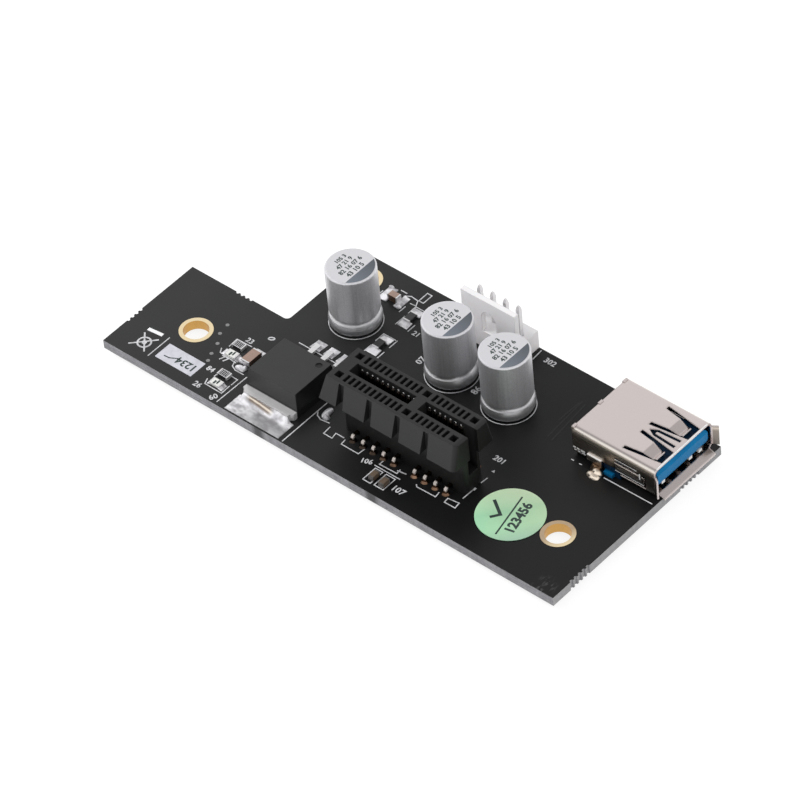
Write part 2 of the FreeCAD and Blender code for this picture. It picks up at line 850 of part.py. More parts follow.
def usb_insulator():
    """The block and its tongue, with a lug in the opening of each side wall."""
    gap = usb_sheet + insulator_clearance
    block_x = (usb_rear_x + gap, usb_rear_x + gap + insulator_block)
    block_top = usb_height - gap
    block = box(block_x, (usb_front_y + gap, usb_back_y - gap), (0, block_top))
    block = block.makeFillet(usb_bend, [edge for edge in block.Edges if runs_along_at(edge, block_top)])
    roof = usb_contact_height()
    width = usb_contact_width + 2 * insulator_clearance
    cuts = []
    for x, y, tip_inset in usb_tails():
        tail_x = around(x, usb_contact_thickness + 2 * insulator_clearance)
        cuts.append(box(tail_x, around(y, width), (-reach, roof)))
        cuts.append(box((x, block_x[1] + reach), around(y, width), (roof - 2 * usb_contact_dip, roof)))
    lug_start = usb_rear_x + leg_from_rear + leg_fillet_radius + insulator_clearance
    lug_end = usb_rear_x + side_cut_rear + side_cut_length - insulator_clearance
    lug_z = (0, side_cut_height - insulator_clearance)
    lugs = []
    for wall, side in ((usb_front_y, -1), (usb_back_y, 1)):
        face = wall - side * insulator_clearance
        lugs.append(box((lug_start, lug_end), sorted((face, face - side * insulator_lug_depth)), lug_z))
    return block.fuse([usb_tongue(block_x[1] - reach)] + lugs).cut(cuts)


def usb_contacts():
    roof = usb_contact_height() - insulator_clearance - usb_contact_thickness / 2
    solids = []
    for x, y, tip_inset in usb_tails():
        tip_x = usb_mouth_x - tip_inset
        path = [
            (x, lead_end),
            (x, roof),
            (tip_x - 2 * usb_contact_hump, roof),
            (tip_x - usb_contact_hump, roof - usb_contact_dip),
            (tip_x, roof),
        ]
        solids.append(strip_along(path, usb_contact_thickness, around(y, usb_contact_width)))
    return solids


def usb_solder():
    tails = usb_tails()
    solids = [solder_cone(x, y, usb_contact_thickness, usb_contact_width) for x, y, tip_inset in tails]
    inside = (usb_front_y + usb_sheet, usb_back_y - usb_sheet)
    for x, y in usb_legs():
        solids.append(solder_cone(x, y, leg_width, usb_sheet))
        fillet = cone(x, y, leg_fillet_radius, leg_fillet_top_radius, (0, leg_fillet_height))
        room = box(around(x, 2 * leg_fillet_radius), inside, (-reach, usb_height))
        solids.append(fillet.cut([room, lead_passage(x, y, leg_width, usb_sheet, (-reach, usb_height))]))
    return solids


# Four-pin power header
def power_header_housing():
    x = around(header_centre_x, 2 * header_half)
    base = box(x, (header_front_y, board_width), (0, header_base))
    wall_y = (header_front_y, header_front_y + header_wall)
    wall = box(x, wall_y, (0, header_wall_top))
    radius = header_window_width / 2
    spring_line = header_window_top - radius
    through = (wall_y[0] - reach, wall_y[1] + reach)
    arch_start = Vector(header_centre_x, through[0], spring_line)
    arch = Part.makeCylinder(radius, through[1] - through[0], arch_start, Vector(0, 1, 0))
    window = box(around(header_centre_x, header_window_width), through, (header_base, spring_line))
    passage = header_pin_size + 2 * fit_clearance
    pin_z = (-reach, header_base + reach)
    pins = [box(around(pin_x, passage), around(pin_y, passage), pin_z) for pin_x, pin_y in header_pins_at()]
    return base.fuse(wall.cut([arch, window])).cut(pins)


def power_header_pins():
    solids = []
    for x, y in header_pins_at():
        shaft_top = header_pin_top - header_pin_taper
        shaft = box(around(x, header_pin_size), around(y, header_pin_size), (lead_end, shaft_top))
        low = level_rectangle(around(x, header_pin_size), around(y, header_pin_size), shaft_top)
        high = level_rectangle(around(x, header_pin_tip), around(y, header_pin_tip), header_pin_top)
        solids.append(shaft.fuse(loft(low, high)))
    return solids


def power_header_solder():
    return [solder_cone(x, y, header_pin_size, header_pin_size) for x, y in header_pins_at()]


# Voltage regulator
def regulator_tab():
    x = around(regulator_x, tab_width)
    depth = (regulator_front, regulator_front + tab_lip + regulator_depth)
    notches = [post(corner_x, regulator_front, tab_notch, (-reach, regulator_height)) for corner_x in x]
    return box(x, depth, (tab_seat, tab_thickness)).cut(notches)


def regulator_body():
    x = around(regulator_x, regulator_width)
    y = (regulator_front + tab_lip, regulator_front + tab_lip + regulator_depth)
    draft = regulator_draft
    low = level_rectangle(x, y, tab_thickness)
    high = level_rectangle((x[0] + draft, x[1] - draft), (y[0] + draft, y[1] - draft), regulator_height)
    mark_x = x[1] - draft - regulator_dimple_inset
    mark_y = y[1] - draft - regulator_dimple_inset
    floor = regulator_height - regulator_dimple_depth
    return loft(low, high).cut(post(mark_x, mark_y, regulator_dimple, (floor, regulator_height + reach)))


def regulator_leads():
    back = regulator_front + tab_lip + regulator_depth
    slope = regulator_draft * (lead_exit - tab_thickness) / (regulator_height - tab_thickness)
    sole = tab_seat + lead_thickness / 2
    path = [
        (back - slope, lead_exit),
        (back + lead_knee, lead_exit),
        (back + lead_run, sole),
        (back + lead_run + lead_foot, sole),
    ]
    places = [regulator_x + index * lead_pitch for index in (-1, 0, 1)]
    strips = [strip_across(path, lead_thickness, around(x, lead_width)) for x in places]
    return [strip.cut(regulator_body()) for strip in strips]


# Chip parts
def chip_stretch(middle, chip, start, end):
    """A stretch of a chip between two distances from its middle."""
    name, x, y, direction, length, width, height = chip
    z = (chip_seat, chip_seat + height)
    if direction == "x":
        return box((middle[0] + start, middle[0] + end), around(middle[1], width), z)
    return box(around(middle[0], width), (middle[1] + start, middle[1] + end), z)


def save_chip(corner, chip):
    """Writes the body of one chip part, and its two metal ends."""
    name, x, y, direction, length, width, height = chip
    middle = (corner[0] + x, corner[1] + y)
    half = length / 2
    inner = half - chip_end
    save(name, [chip_stretch(middle, chip, -inner, inner)])
    ends = [(-half, -inner), (inner, half)]
    save(name + "_ends", [chip_stretch(middle, chip, start, end) for start, end in ends])


# Writing the pieces
os.makedirs("parts", exist_ok=True)
save("circuit_board", [circuit_board()])
for name, (x, y) in mounting_holes.items():
    save(name + "_hole_plating", [hole_plating(x, y)])
save("slot_housing", [slot_housing()])
save("slot_contacts_front", slot_contacts(-1))
save("slot_contacts_rear", slot_contacts(1))
save("slot_solder", slot_solder())
for name, x in capacitors.items():
    save(name + "_capacitor_can", [capacitor_can(x)])
    save(name + "_capacitor_bung", [capacitor_bung(x)])
    save(name + "_capacitor_leads", capacitor_leads(x))
save("capacitor_solder", capacitor_solder())
save("usb_shell", [usb_shell()])
save("usb_insulator", [usb_insulator()])
save("usb_contacts", usb_contacts())
save("usb_solder", usb_solder())
save("power_header_housing", [power_header_housing()])
save("power_header_pins", power_header_pins())
save("power_header_solder", power_header_solder())
save("regulator_body", [regulator_body()])
save("regulator_tab", [regulator_tab()])
save("regulator_leads", regulator_leads())
for corner_x, corner_y, chips in chip_groups:
    for chip in chips:
        save_chip((corner_x, corner_y), chip)
save("label_disc", [post(label_x, label_y, label_radius, (label_seat, label_seat + label_thickness))])
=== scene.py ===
"""Looks of the riser card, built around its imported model."""
import json
import math

import bmesh
import bpy
from mathutils import Matrix, Vector, noise


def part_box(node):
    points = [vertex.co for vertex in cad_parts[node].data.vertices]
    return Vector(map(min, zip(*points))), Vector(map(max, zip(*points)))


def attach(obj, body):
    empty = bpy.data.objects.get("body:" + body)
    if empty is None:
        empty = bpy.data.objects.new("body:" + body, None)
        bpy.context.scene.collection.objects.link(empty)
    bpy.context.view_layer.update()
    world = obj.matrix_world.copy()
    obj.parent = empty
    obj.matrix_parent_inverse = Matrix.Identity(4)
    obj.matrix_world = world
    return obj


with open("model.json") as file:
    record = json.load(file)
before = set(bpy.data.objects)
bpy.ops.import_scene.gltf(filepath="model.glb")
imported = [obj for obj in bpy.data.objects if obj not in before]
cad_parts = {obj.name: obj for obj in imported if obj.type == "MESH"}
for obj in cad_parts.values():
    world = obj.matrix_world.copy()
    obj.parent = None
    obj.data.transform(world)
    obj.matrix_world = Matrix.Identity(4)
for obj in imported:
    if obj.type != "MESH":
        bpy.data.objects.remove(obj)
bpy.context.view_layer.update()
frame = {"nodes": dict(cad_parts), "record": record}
nodes = frame["nodes"]
mm = 0.001

# The card lies with its front left corner here, and heights count from its top face.
card_low, card_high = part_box("circuit_board")
card_corner = Vector((card_low.x, card_low.y, card_high.z))

# Print: its sunk underside, its top and the usual width of a line, in millimetres
print_low = -0.004
print_high = 0.012
print_z = (print_low, print_high)
line_width = 0.17

# Places in millimetres along and across the card
left_dark_spot = (31.3, 0.0)
right_dark_spot = (53.5, 0.0)
scuffed_corner = (85.4, 1.2)
front_chips = (52.5, 3.0)
right_hole = (80.4, 10.2)
regulator_dimple = (33.1, 12.4)
label_corner = (67.5, 4.0)
label_width = 10.0
slot_middle_y = 10.1
socket_middle_y = 30.4
shell_near_y = 23.85
shell_width = 13.1
leg_shade_x = 78.9


def spot(x, y, z=0.0):
    """A place in the scene from millimetres along, across and above the card."""
    return card_corner + Vector((x, y, z)) * mm


def on_card(place):
    """Millimetres along, across and above the card from a place in the scene."""
    return (place - card_corner) / mm


# Shader sums
class Wire:
    """A socket of a material's nodes. Sums written with it add the Math nodes."""

    def __init__(self, tree, socket=None):
        self.tree = tree
        self.socket = socket

    def node(self, kind, settings=None, inputs=None, output=0):
        """A new node: its settings first, then the values or links of its sockets."""
        made = self.tree.nodes.new(kind)
        for name, value in (settings or {}).items():
            setattr(made, name, value)
        for key, value in (inputs or {}).items():
            self.feed(made.inputs[key], value)
        return Wire(self.tree, made.outputs[output])

    def feed(self, socket, value):
        """Links a wire to a socket, or sets the socket's own value."""
        if isinstance(value, Wire):
            self.tree.links.new(value.socket, socket)
        else:
            socket.default_value = value

    def sum(self, operation, first, second=0.0):
        """One Math node."""
        return self.node("ShaderNodeMath", {"operation": operation}, {0: first, 1: second})

    def __add__(self, other):
        return self.sum("ADD", self, other)

    __radd__ = __add__

    def __sub__(self, other):
        return self.sum("SUBTRACT", self, other)

    def __rsub__(self, other):
        return self.sum("SUBTRACT", other, self)

    def __mul__(self, other):
        return self.sum("MULTIPLY", self, other)

    __rmul__ = __mul__

    def __truediv__(self, other):
        return self.sum("DIVIDE", self, other)

    def __abs__(self):
        return self.sum("ABSOLUTE", self)

    def most(self, other):
        """The larger of two values."""
        return self.sum("MAXIMUM", self, other)

    def rise(self, low, high):
        """0 below low, 1 above high, and straight between them."""
        return self.node("ShaderNodeMapRange", {"clamp": True}, {0: self, 1: low, 2: high})

    def mix(self, first, second):
        """The first colour where this is 0, and the second where it is 1."""
        return self.node("ShaderNodeMix", {"data_type": "RGBA"}, {0: self, 6: tint(first), 7: tint(second)}, 2)

    def stretched(self, scale, turn=0.0):
        """Places scaled along each axis, for grain that runs one way."""
        return self.node("ShaderNodeMapping", {}, {"Vector": self, "Scale": scale, "Rotation": (0, 0, turn)})

    def grain(self, scale, detail=2.0, roughness=0.5):
        """Cloudy noise from 0 to 1, with lumps of about one over scale."""
        return self.node(
            "ShaderNodeTexNoise", {}, {"Vector": self, "Scale": scale, "Detail": detail, "Roughness": roughness}
        )

    def along(self, axis):
        """One coordinate, X, Y or Z."""
        return self.node("ShaderNodeSeparateXYZ", {}, {0: self}, axis)

    def card(self, axis):
        """One coordinate in millimetres from the card's corner and top face."""
        return (self.along(axis) - card_corner["XYZ".index(axis)]) / mm

    def near(self, x, y, radius, soft):
        """1 within a radius round a place on the card, falling to 0 over the soft width."""
        flat = self.node("ShaderNodeVectorMath", {"operation": "MULTIPLY"}, {0: self, 1: (1, 1, 0)})
        middle = spot(x, y)
        away = self.node(
            "ShaderNodeVectorMath", {"operation": "DISTANCE"}, {0: flat, 1: (middle.x, middle.y, 0)}, "Value"
        )
        return 1 - away.rise(radius * mm, (radius + soft) * mm)

    def facing(self, axis):
        """How far the surface faces along an axis, from -1 to 1."""
        return self.node("ShaderNodeNewGeometry", output="Normal").along(axis)

    def bump(self, depth, normal=None):
        """A normal from this height, which is depth millimetres deep."""
        inputs = {"Height": self, "Distance": depth * mm, "Strength": 1.0}
        if normal:
            inputs["Normal"] = normal
        return self.node("ShaderNodeBump", {}, inputs, "Normal")

    def soft_edges(self, radius):
        """A normal rounded over sharp edges, within a radius in millimetres."""
        return self.node("ShaderNodeBevel", {"samples": 4}, {"Radius": radius * mm}, "Normal")


def tint(color):
    """A colour with its alpha, from grey, red-green-blue or a wire."""
    if isinstance(color, Wire):
        return color
    if isinstance(color, float):
        return (color, color, color, 1.0)
    return (*color, 1.0)


def finish(name, shade):
    """A material whose shader is filled with what shade gives for its places."""
    made = bpy.data.materials.new(name)
    made.use_nodes = True
    tree = made.node_tree
    shader = tree.nodes["Principled BSDF"]
    place = Wire(tree).node("ShaderNodeTexCoord", output="Object")
    for socket, value in shade(place).items():
        place.feed(shader.inputs[socket], tint(value) if socket == "Base Color" else value)
    return made


# Finishes
def mask_shade(place):
    """Matte black mask on the faces, painted paler towards the narrow end as painted light, and sawn glass fibre on
    the edges, painted lighter where they face the right end.
    """
    face = abs(place.facing("Z")).rise(0.4, 0.6)
    upper = place.facing("Z").rise(0.4, 0.6)
    cloud = place.grain(90.0, 3.0)
    fine = place.grain(7000.0, 2.0)
    # Painted light: the mask is paler towards the left end and darker towards the right, standing in for the room it
    # mirrors and the shade of the tall parts.
    pale = (1 - place.card("X").rise(4.0, 58.0)) * 0.85 + (cloud - 0.5) * 0.3
    mask = pale.rise(0.0, 1.0).mix((0.0058, 0.0058, 0.0062), (0.0300, 0.0300, 0.0305))
    scratches = place.stretched((2600, 900, 900)).grain(1.0, 3.0).rise(0.54, 0.66)
    scuffs = place.near(*scuffed_corner, 0.7, 1.5) * scratches * upper
    mask = (scuffs * 0.6).mix(mask, 0.10)
    layers = place.stretched((500, 500, 9000)).grain(1.0, 3.0, 0.6)
    torn = place.stretched((1500, 1500, 400)).grain(1.0, 4.0, 0.7)
    sawn = (layers * 0.6 + torn * 0.4).rise(0.25, 0.75)
    # Painted light: edges that face the right end get a lighter colour.
    end = place.facing("X").rise(0.4, 0.8)
    long_edge = sawn.mix((0.14, 0.137, 0.15), (0.39, 0.385, 0.405))
    lit_short_edge = sawn.mix((0.27, 0.268, 0.275), (0.46, 0.455, 0.465))
    # Two darker spots on the front edge.
    dark_spots = place.near(*left_dark_spot, 0.5, 0.9).most(place.near(*right_dark_spot, 0.6, 0.9))
    edge = (dark_spots * 0.75).mix(end.mix(long_edge, lit_short_edge), 0.04)
    return {
        "Base Color": face.mix(edge, mask),
        "Roughness": face * (cloud * 0.06 + 0.33) + (1 - face) * 0.85,
        "Specular IOR Level": 0.22,
        "Normal": (fine * face + layers * (1 - face)).bump(0.004),
    }


def gold_shade(place):
    """Gold flash over copper, a little dull, and browner round the right hole apart from its front."""
    worn = place.grain(1500.0, 3.0)
    wall = 1 - abs(place.facing("Z")).rise(0.4, 0.6)
    length = place.card("X")
    lean = length - right_hole[0] - (place.card("Y") - right_hole[1]) * 0.5
    brown = length.rise(60.0, 70.0) * (1 - lean.rise(0.0, 2.6))
    color = brown.mix(worn.mix((0.91, 0.73, 0.44), (0.99, 0.85, 0.58)), (0.56, 0.42, 0.28))
    return {
        "Base Color": wall.mix(color, (0.62, 0.36, 0.11)),
        "Metallic": 1.0,
        "Roughness": worn * 0.15 + 0.28,
        "Normal": worn.bump(0.004),
    }


def slot_shade(place):
    """Black moulding with a fine spark-eroded grain, painted blacker at the foot and the open end as painted shade.
    """
    grain = place.grain(5000.0, 2.0)
    cloud = place.grain(400.0, 2.0)
    # Painted shade: blacker at the foot and the open end.
    shade_low_and_end = (1 - place.card("Z").rise(4.0, 5.0)).most(place.card("X").rise(64.4, 64.8))
    return {
        "Base Color": shade_low_and_end.mix(cloud.mix(0.011, 0.015), 0.003),
        "Roughness": cloud * 0.08 + 0.48,
        "Specular IOR Level": 0.42,
        "Normal": grain.bump(0.003, place.soft_edges(0.12)),
    }


def contact_shade(place):
    """Springs: painted glints bright at tips and tails, dull bronze between as painted shade, copper at the card,
    pale in the USB socket, and painted shade in the USB mouth.
    """
    worn = place.grain(1800.0, 3.0)
    length = place.card("X")
    height = place.card("Z")
    aside = abs(place.card("Y") - slot_middle_y)
    # Painted glints at the tips and tails.
    tip_glint = height.rise(9.75, 9.95)
    tail_glint = aside.rise(3.05, 3.25) * height.rise(0.35, 0.65)
    socket = length.rise(66.0, 67.0)
    # Painted shade in the USB mouth.
    shade_in_mouth = length.rise(80.0, 82.0)
    bright = tip_glint.most(tail_glint * 0.8).most(socket - shade_in_mouth * 0.85)
    feet = aside.rise(3.0, 3.2) * (1 - height.rise(0.25, 0.55)) * (1 - socket)
    # Painted shade: dull dark bronze between the tips and tails, with copper feet at the card.
    dull = feet.mix(worn.mix((0.030, 0.020, 0.014), (0.075, 0.048, 0.030)), (0.22, 0.11, 0.05))
    return {
        "Base Color": bright.mix(dull, worn.mix((0.78, 0.68, 0.62), (0.96, 0.90, 0.86))),
        "Metallic": 1 - socket * 0.6 - tail_glint * 0.6,
        "Roughness": worn * 0.15 + 0.2,
        "Normal": worn.bump(0.004),
    }


def solder_shade(place):
    """Bright solder under the card, warmed by flux and copper on top of it, brown by the slot as flux and painted
    shade, and painted near black towards the left as painted shade.
    """
    frost = place.grain(2200.0, 3.0)
    patch = place.grain(700.0, 2.0)
    mottle = patch.rise(0.3, 0.7)
    above = place.card("Z").rise(-0.4, 0.0)
    slot = 1 - place.card("Y").rise(16.0, 17.0)
    # Painted shade: the collars by the slot turn near black towards the left, and their brown is partly painted
    # shade.
    right = (place.card("X") + (patch - 0.5) * 12).rise(48.0, 57.0)
    clean = mottle.mix((0.58, 0.57, 0.60), (0.86, 0.85, 0.86))
    copper = mottle.mix((0.80, 0.64, 0.49), (0.98, 0.87, 0.75))
    brown = right.mix((0.045, 0.033, 0.026), mottle.mix((0.09, 0.052, 0.032), (0.28, 0.17, 0.11)))
    return {
        "Base Color": above.mix(clean, slot.mix(copper, brown)),
        "Metallic": 1.0,
        "Roughness": frost * 0.1 + 0.14,
        "Normal": (frost * 0.3 + patch).bump(0.004),
    }


def smooth_solder_shade(place):
    """Solder that flowed round the shell's leg, cream at its front and painted brown against the wall as painted
    shade.
    """
    patch = place.grain(500.0, 2.0)
    above = place.card("Z").rise(-0.4, 0.0)
    # Painted shade: brown towards the wall.
    brown = (place.card("Y") + (patch - 0.5) * 0.6).rise(22.6, 23.1)
    return {
        "Base Color": above.mix((0.74, 0.73, 0.75), brown.mix((0.96, 0.84, 0.71), (0.34, 0.22, 0.14))),
        "Metallic": 1.0,
        "Roughness": patch * 0.08 + 0.24,
    }


def can_shade(place):
    """Drawn aluminium, satin, with faint lines up the wall, smoother round the rolled bead, and the bead painted
    darker as a painted reflection of the dark card.
    """
    wall = 1 - abs(place.facing("Z")).rise(0.7, 0.95)
    bead = 1 - place.card("Z").rise(2.6, 3.4)
    drawn = place.stretched((3500, 3500, 90)).grain(1.0, 3.0)
    speck = place.grain(5000.0, 2.0)
    color = (drawn * 0.4 + speck * 0.6).rise(0.3, 0.7).mix((0.63, 0.63, 0.655), (0.83, 0.83, 0.86))
    return {
        # Painted reflection: the bead is darker, standing in for the dark card it mirrors.
        "Base Color": (bead * 0.4).mix(wall.mix((0.60, 0.595, 0.62), color), 0.46),
        "Metallic": wall * 0.5 + bead * 0.1 + 0.25,
        "Roughness": drawn * 0.06 + speck * 0.05 + 0.36,
        "Normal": ((drawn * wall + speck * 0.4) * (1 - bead)).bump(0.003),
    }


def rubber_shade(place):
    """Black sealing rubber."""
    speck = place.grain(3000.0, 2.0)
    return {"Base Color": speck.mix(0.012, 0.022), "Roughness": speck * 0.1 + 0.7, "Normal": speck.bump(0.01)}


def tin_shade(place):
    """Tin plate, pale and slightly frosted, duller on the small front chips."""
    frost = place.grain(2600.0, 3.0)
    dull = place.near(*front_chips, 2.4, 0.4)
    pale = frost.mix((0.62, 0.61, 0.62), (0.82, 0.81, 0.82))
    return {
        "Base Color": (dull * 0.8).mix(pale, (0.10, 0.085, 0.07)),
        "Metallic": 0.65,
        "Roughness": frost * 0.2 + 0.25,
        "Normal": frost.bump(0.008),
    }


def tab_shade(place):
    """The regulator's metal tab, dull white tin with a rolled grain, painted black behind its front edge as painted
    shade along the moulding.
    """
    rolled = place.stretched((200, 4000, 4000)).grain(1.0, 3.0)
    cloud = place.grain(700.0, 2.0)
    # Painted shade: black behind the front edge.
    shaded_back = place.card("Y").rise(5.0, 5.2)
    tin = (rolled * 0.4 + cloud * 0.6).rise(0.3, 0.7).mix((0.49, 0.485, 0.49), (0.63, 0.62, 0.625))
    return {
        "Base Color": shaded_back.mix(tin, 0.008),
        "Metallic": (1 - shaded_back) * 0.35,
        "Roughness": rolled * 0.1 + 0.32,
        "Normal": rolled.bump(0.004, place.soft_edges(0.1)),
    }


def pad_shade(place):
    """Tinned copper, mottled grey and white, with a stain of flux along the regulator's tab."""
    length = place.card("X")
    depth = place.card("Y")
    patch = place.stretched((520, 800, 520), 0.5).grain(1.0, 2.0, 0.5)
    frost = place.grain(2600.0, 3.0)
    dim = length.rise(25.8, 30.0) * (1 - depth.rise(2.2, 2.9))
    mottled = patch.rise(0.38, 0.60).mix((0.40, 0.39, 0.41), (0.88, 0.87, 0.90))
    tin = (dim * 0.65).mix(mottled, (0.25, 0.245, 0.25))
    aside = abs(depth - 3.4 + (length - 28.5) * 0.05 + (patch - 0.5) * 0.3)
    stain = (1 - aside.rise(0.24, 0.46)) * length.rise(25.9, 26.9) * (1 - length.rise(30.6, 31.6))
    flux = aside.rise(0.04, 0.15).mix((0.80, 0.70, 0.58), (0.17, 0.12, 0.08))
    return {
        "Base Color": (stain * 0.85).mix(tin, flux),
        "Metallic": 0.5,
        "Roughness": frost * 0.2 + 0.3,
        "Normal": (frost * 0.3 + patch).bump(0.014),
    }


def shell_shade(place):
    """Plated sheet steel with a satin rolled grain, with a painted highlight along its bends, a painted sheen
    lightening its walls upwards, and painted shade beside the leg, in its mouth, under its bends and on its inside
    floor.
    """
    length = place.card("X")
    height = place.card("Z")
    aside = abs(place.card("Y") - socket_middle_y)
    tilt = abs(place.facing("Y"))
    rolled = place.stretched((150, 5000, 5000)).grain(1.0, 3.0)
    speck = place.grain(4200.0, 2.0)
    upright = tilt.rise(0.70, 0.84)
    wall = upright * aside.rise(6.35, 6.45)
    glow = wall * height.rise(4.4, 5.3)
    # Painted highlight along the bends.
    bend_highlight = tilt.rise(0.35, 0.6) * (1 - tilt.rise(0.68, 0.88)) * height.rise(4.7, 4.8)
    # Painted shade beside the leg, in the mouth, under the bends and on the inside floor.
    shade_by_leg = (1 - abs(length - leg_shade_x).rise(0.9, 1.4)) * (1 - height.rise(2.8, 3.6))
    shade_in_mouth = length.rise(83.6, 85.0) * (1 - height.rise(4.0, 4.8))
    shade_under_bend = upright * height.rise(4.4, 4.8)
    painted_shade = (shade_by_leg * 0.95).most(shade_in_mouth * 0.65).most(shade_under_bend * 0.7)
    shade_inside = (1 - aside.rise(6.1, 6.3)) * (1 - length.rise(86.6, 87.2)) * (1 - height.rise(2.0, 3.0))
    satin = (rolled * 0.5 + speck * 0.5).mix((0.60, 0.535, 0.52), (0.655, 0.59, 0.575))
    top = (shade_inside * 0.85).mix(satin, 0.02)
    # Painted sheen: the walls grow lighter towards their top.
    wall_sheen = height.rise(0.3, 5.2).mix((0.42, 0.40, 0.37), (0.95, 0.82, 0.70))
    side = painted_shade.mix(wall_sheen, (0.02, 0.019, 0.018))
    return {
        "Base Color": bend_highlight.mix(wall.mix(top, side), (0.82, 0.77, 0.71)),
        "Metallic": 1 - glow * 0.45,
        "Roughness": rolled * 0.04 + wall * 0.12 + 0.14,
        "Normal": (rolled * 0.2 + speck).bump(0.0015, place.soft_edges(0.3)),
    }


def usb_blue_shade(place):
    """Blue moulding, bright blue at the tongue's end, half as bright at the low side lugs, and painted near black
    inside the shell as painted shade.
    """
    cloud = place.grain(800.0, 2.0)
    length = place.card("X")
    low_side = abs(place.card("Y") - socket_middle_y).rise(5.95, 6.05) * (1 - place.card("Z").rise(0.7, 0.8))
    lug = low_side * length.rise(77.8, 77.9) * (1 - length.rise(79.6, 79.7))
    # Painted shade: near black inside the shell, except at the tongue's end and the lugs.
    unshaded = length.rise(86.6, 86.75).most(lug * 0.5)
    painted_shade = length.rise(75.5, 76.5).mix(0.003, (0.002, 0.014, 0.035))
    blue = cloud.mix((0.002, 0.160, 0.38), (0.003, 0.190, 0.43))
    return {
        "Base Color": unshaded.mix(painted_shade, blue),
        "Roughness": cloud * 0.1 + 0.36,
        "Specular IOR Level": 0.15,
        "Normal": cloud.bump(0.004, place.soft_edges(0.08)),
    }


def header_shade(place):
    """White moulding, faintly waxy, with its tops painted darker than its thin walls as painted shade."""
    cloud = place.grain(600.0, 2.0)
    # Painted shade: the tops are darker than the walls.
    top = place.facing("Z").rise(0.7, 0.9)
    return {
        "Base Color": top.mix(cloud.mix((0.90, 0.88, 0.89), (0.94, 0.92, 0.93)), (0.78, 0.77, 0.78)),
        "Roughness": cloud * 0.1 + 0.45,
        "Subsurface Weight": 0.2,
        "Subsurface Radius": (0.6 * mm, 0.5 * mm, 0.45 * mm),
        "Normal": cloud.bump(0.006, place.soft_edges(0.15)),
    }


def regulator_shade(place):
    """Black moulding compound, matte and even, painted blacker at its end and in its dimple as painted shade."""
    grain = place.grain(4200.0, 2.0)
    cloud = place.grain(500.0, 2.0)
    # Painted shade: blacker on the end faces and in the dimple.
    end = place.facing("X").rise(0.5, 0.8)
    top = on_card(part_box("regulator_body")[1]).z
    shade_in_dimple = place.near(*regulator_dimple, 0.56, 0.04) * (1 - place.card("Z").rise(top - 0.05, top - 0.01))
    return {
        "Base Color": end.most(shade_in_dimple).mix(cloud.mix(0.015, 0.021), 0.002),
        "Roughness": cloud * 0.06 + 0.44,
        "Specular IOR Level": 0.53,
        "Normal": grain.bump(0.004, place.soft_edges(0.12)),
    }


def ceramic_shade(place):
    """Fired ceramic, pinkish brown, with its sides painted darker as painted shade, and darker on the small front
    chips.
    """
    speck = place.grain(4000.0, 2.0)
    front = 1 - place.card("Y").rise(4.0, 5.0)
    # Painted shade: the sides are darker than the top.
    top = place.facing("Z").rise(0.5, 0.8)
    color = top.mix((0.075, 0.045, 0.032), speck.mix((0.25, 0.165, 0.130), (0.36, 0.25, 0.21)))
    return {
        "Base Color": front.mix(color, speck.mix((0.085, 0.060, 0.040), (0.15, 0.11, 0.08))),
        "Roughness": speck * 0.15 + 0.35,
        "Normal": speck.bump(0.006, place.soft_edges(0.1)),
    }


def resistor_shade(place):
    """Dark glassy overcoat."""
    speck = place.grain(3000.0, 2.0)
    return {
        "Base Color": speck.mix(0.015, 0.035),
        "Roughness": speck * 0.1 + 0.25,
        "Normal": speck.bump(0.006, place.soft_edges(0.08)),
    }


def lamp_shade(place):
    """Milky resin."""
    cloud = place.grain(1200.0, 2.0)
    return {
        "Base Color": cloud.mix((0.62, 0.62, 0.60), (0.78, 0.78, 0.76)),
        "Roughness": cloud * 0.1 + 0.2,
        "Subsurface Weight": 0.3,
        "Subsurface Radius": (0.4 * mm, 0.4 * mm, 0.35 * mm),
        "Normal": cloud.bump(0.006, place.soft_edges(0.1)),
    }


def label_shade(place):
    """Green film, yellower to the right, painted paler at its back as painted light against the slot's shade, and
    bluer at its front.
    """
    across = (place.card("X") - label_corner[0]) / label_width
    deep = (place.card("Y") - label_corner[1]) / label_width
    cloud = place.grain(300.0, 2.0)
    fibre = place.grain(3500.0, 3.0)
    sheen = (across * 0.55 + deep * 0.45 + (cloud - 0.5) * 0.3).rise(0.05, 0.95)
    back = deep - across * 1.25
    green = sheen.mix((0.32, 0.625, 0.39), (0.42, 0.60, 0.38))
    # Painted light: the back is paler, against the slot's shade.
    pale = sheen.mix((0.64, 0.93, 0.59), (0.82, 0.92, 0.65))
    front = back.rise(-0.95, -0.50).mix((0.303, 0.482, 0.348), green)
    return {
        "Base Color": back.rise(0.0, 0.72).mix(front, pale),
        "Roughness": fibre * 0.12 + 0.38,
        "Normal": fibre.bump(0.003),
    }


def print_shade(place):
    """White screen print, a little uneven where the ink is thin."""
    ink = place.grain(1600.0, 3.0)
    return {
        "Base Color": ink.rise(0.25, 0.6).mix((0.36, 0.36, 0.37), (0.60, 0.60, 0.62)),
        "Roughness": ink * 0.15 + 0.5,
        "Normal": ink.bump(0.006),
    }


def field_shade(place):
    """The solid white field, printed thick."""
    ink = place.grain(900.0, 3.0)
    dash = 1 - place.card("X").rise(7.0, 8.0)
    white = ink.rise(0.3, 0.7).mix((0.48, 0.48, 0.53), (0.59, 0.59, 0.645))
    return {
        "Base Color": dash.mix(white, (0.80, 0.80, 0.82)),
        "Roughness": ink * 0.15 + 0.5,
        "Normal": ink.bump(0.006),
    }


def dark_print_shade(place):
    """Dark printing ink."""
    ink = place.grain(1800.0, 3.0)
    return {"Base Color": ink.mix((0.012, 0.026, 0.022), (0.03, 0.05, 0.045)), "Roughness": ink * 0.1 + 0.45}


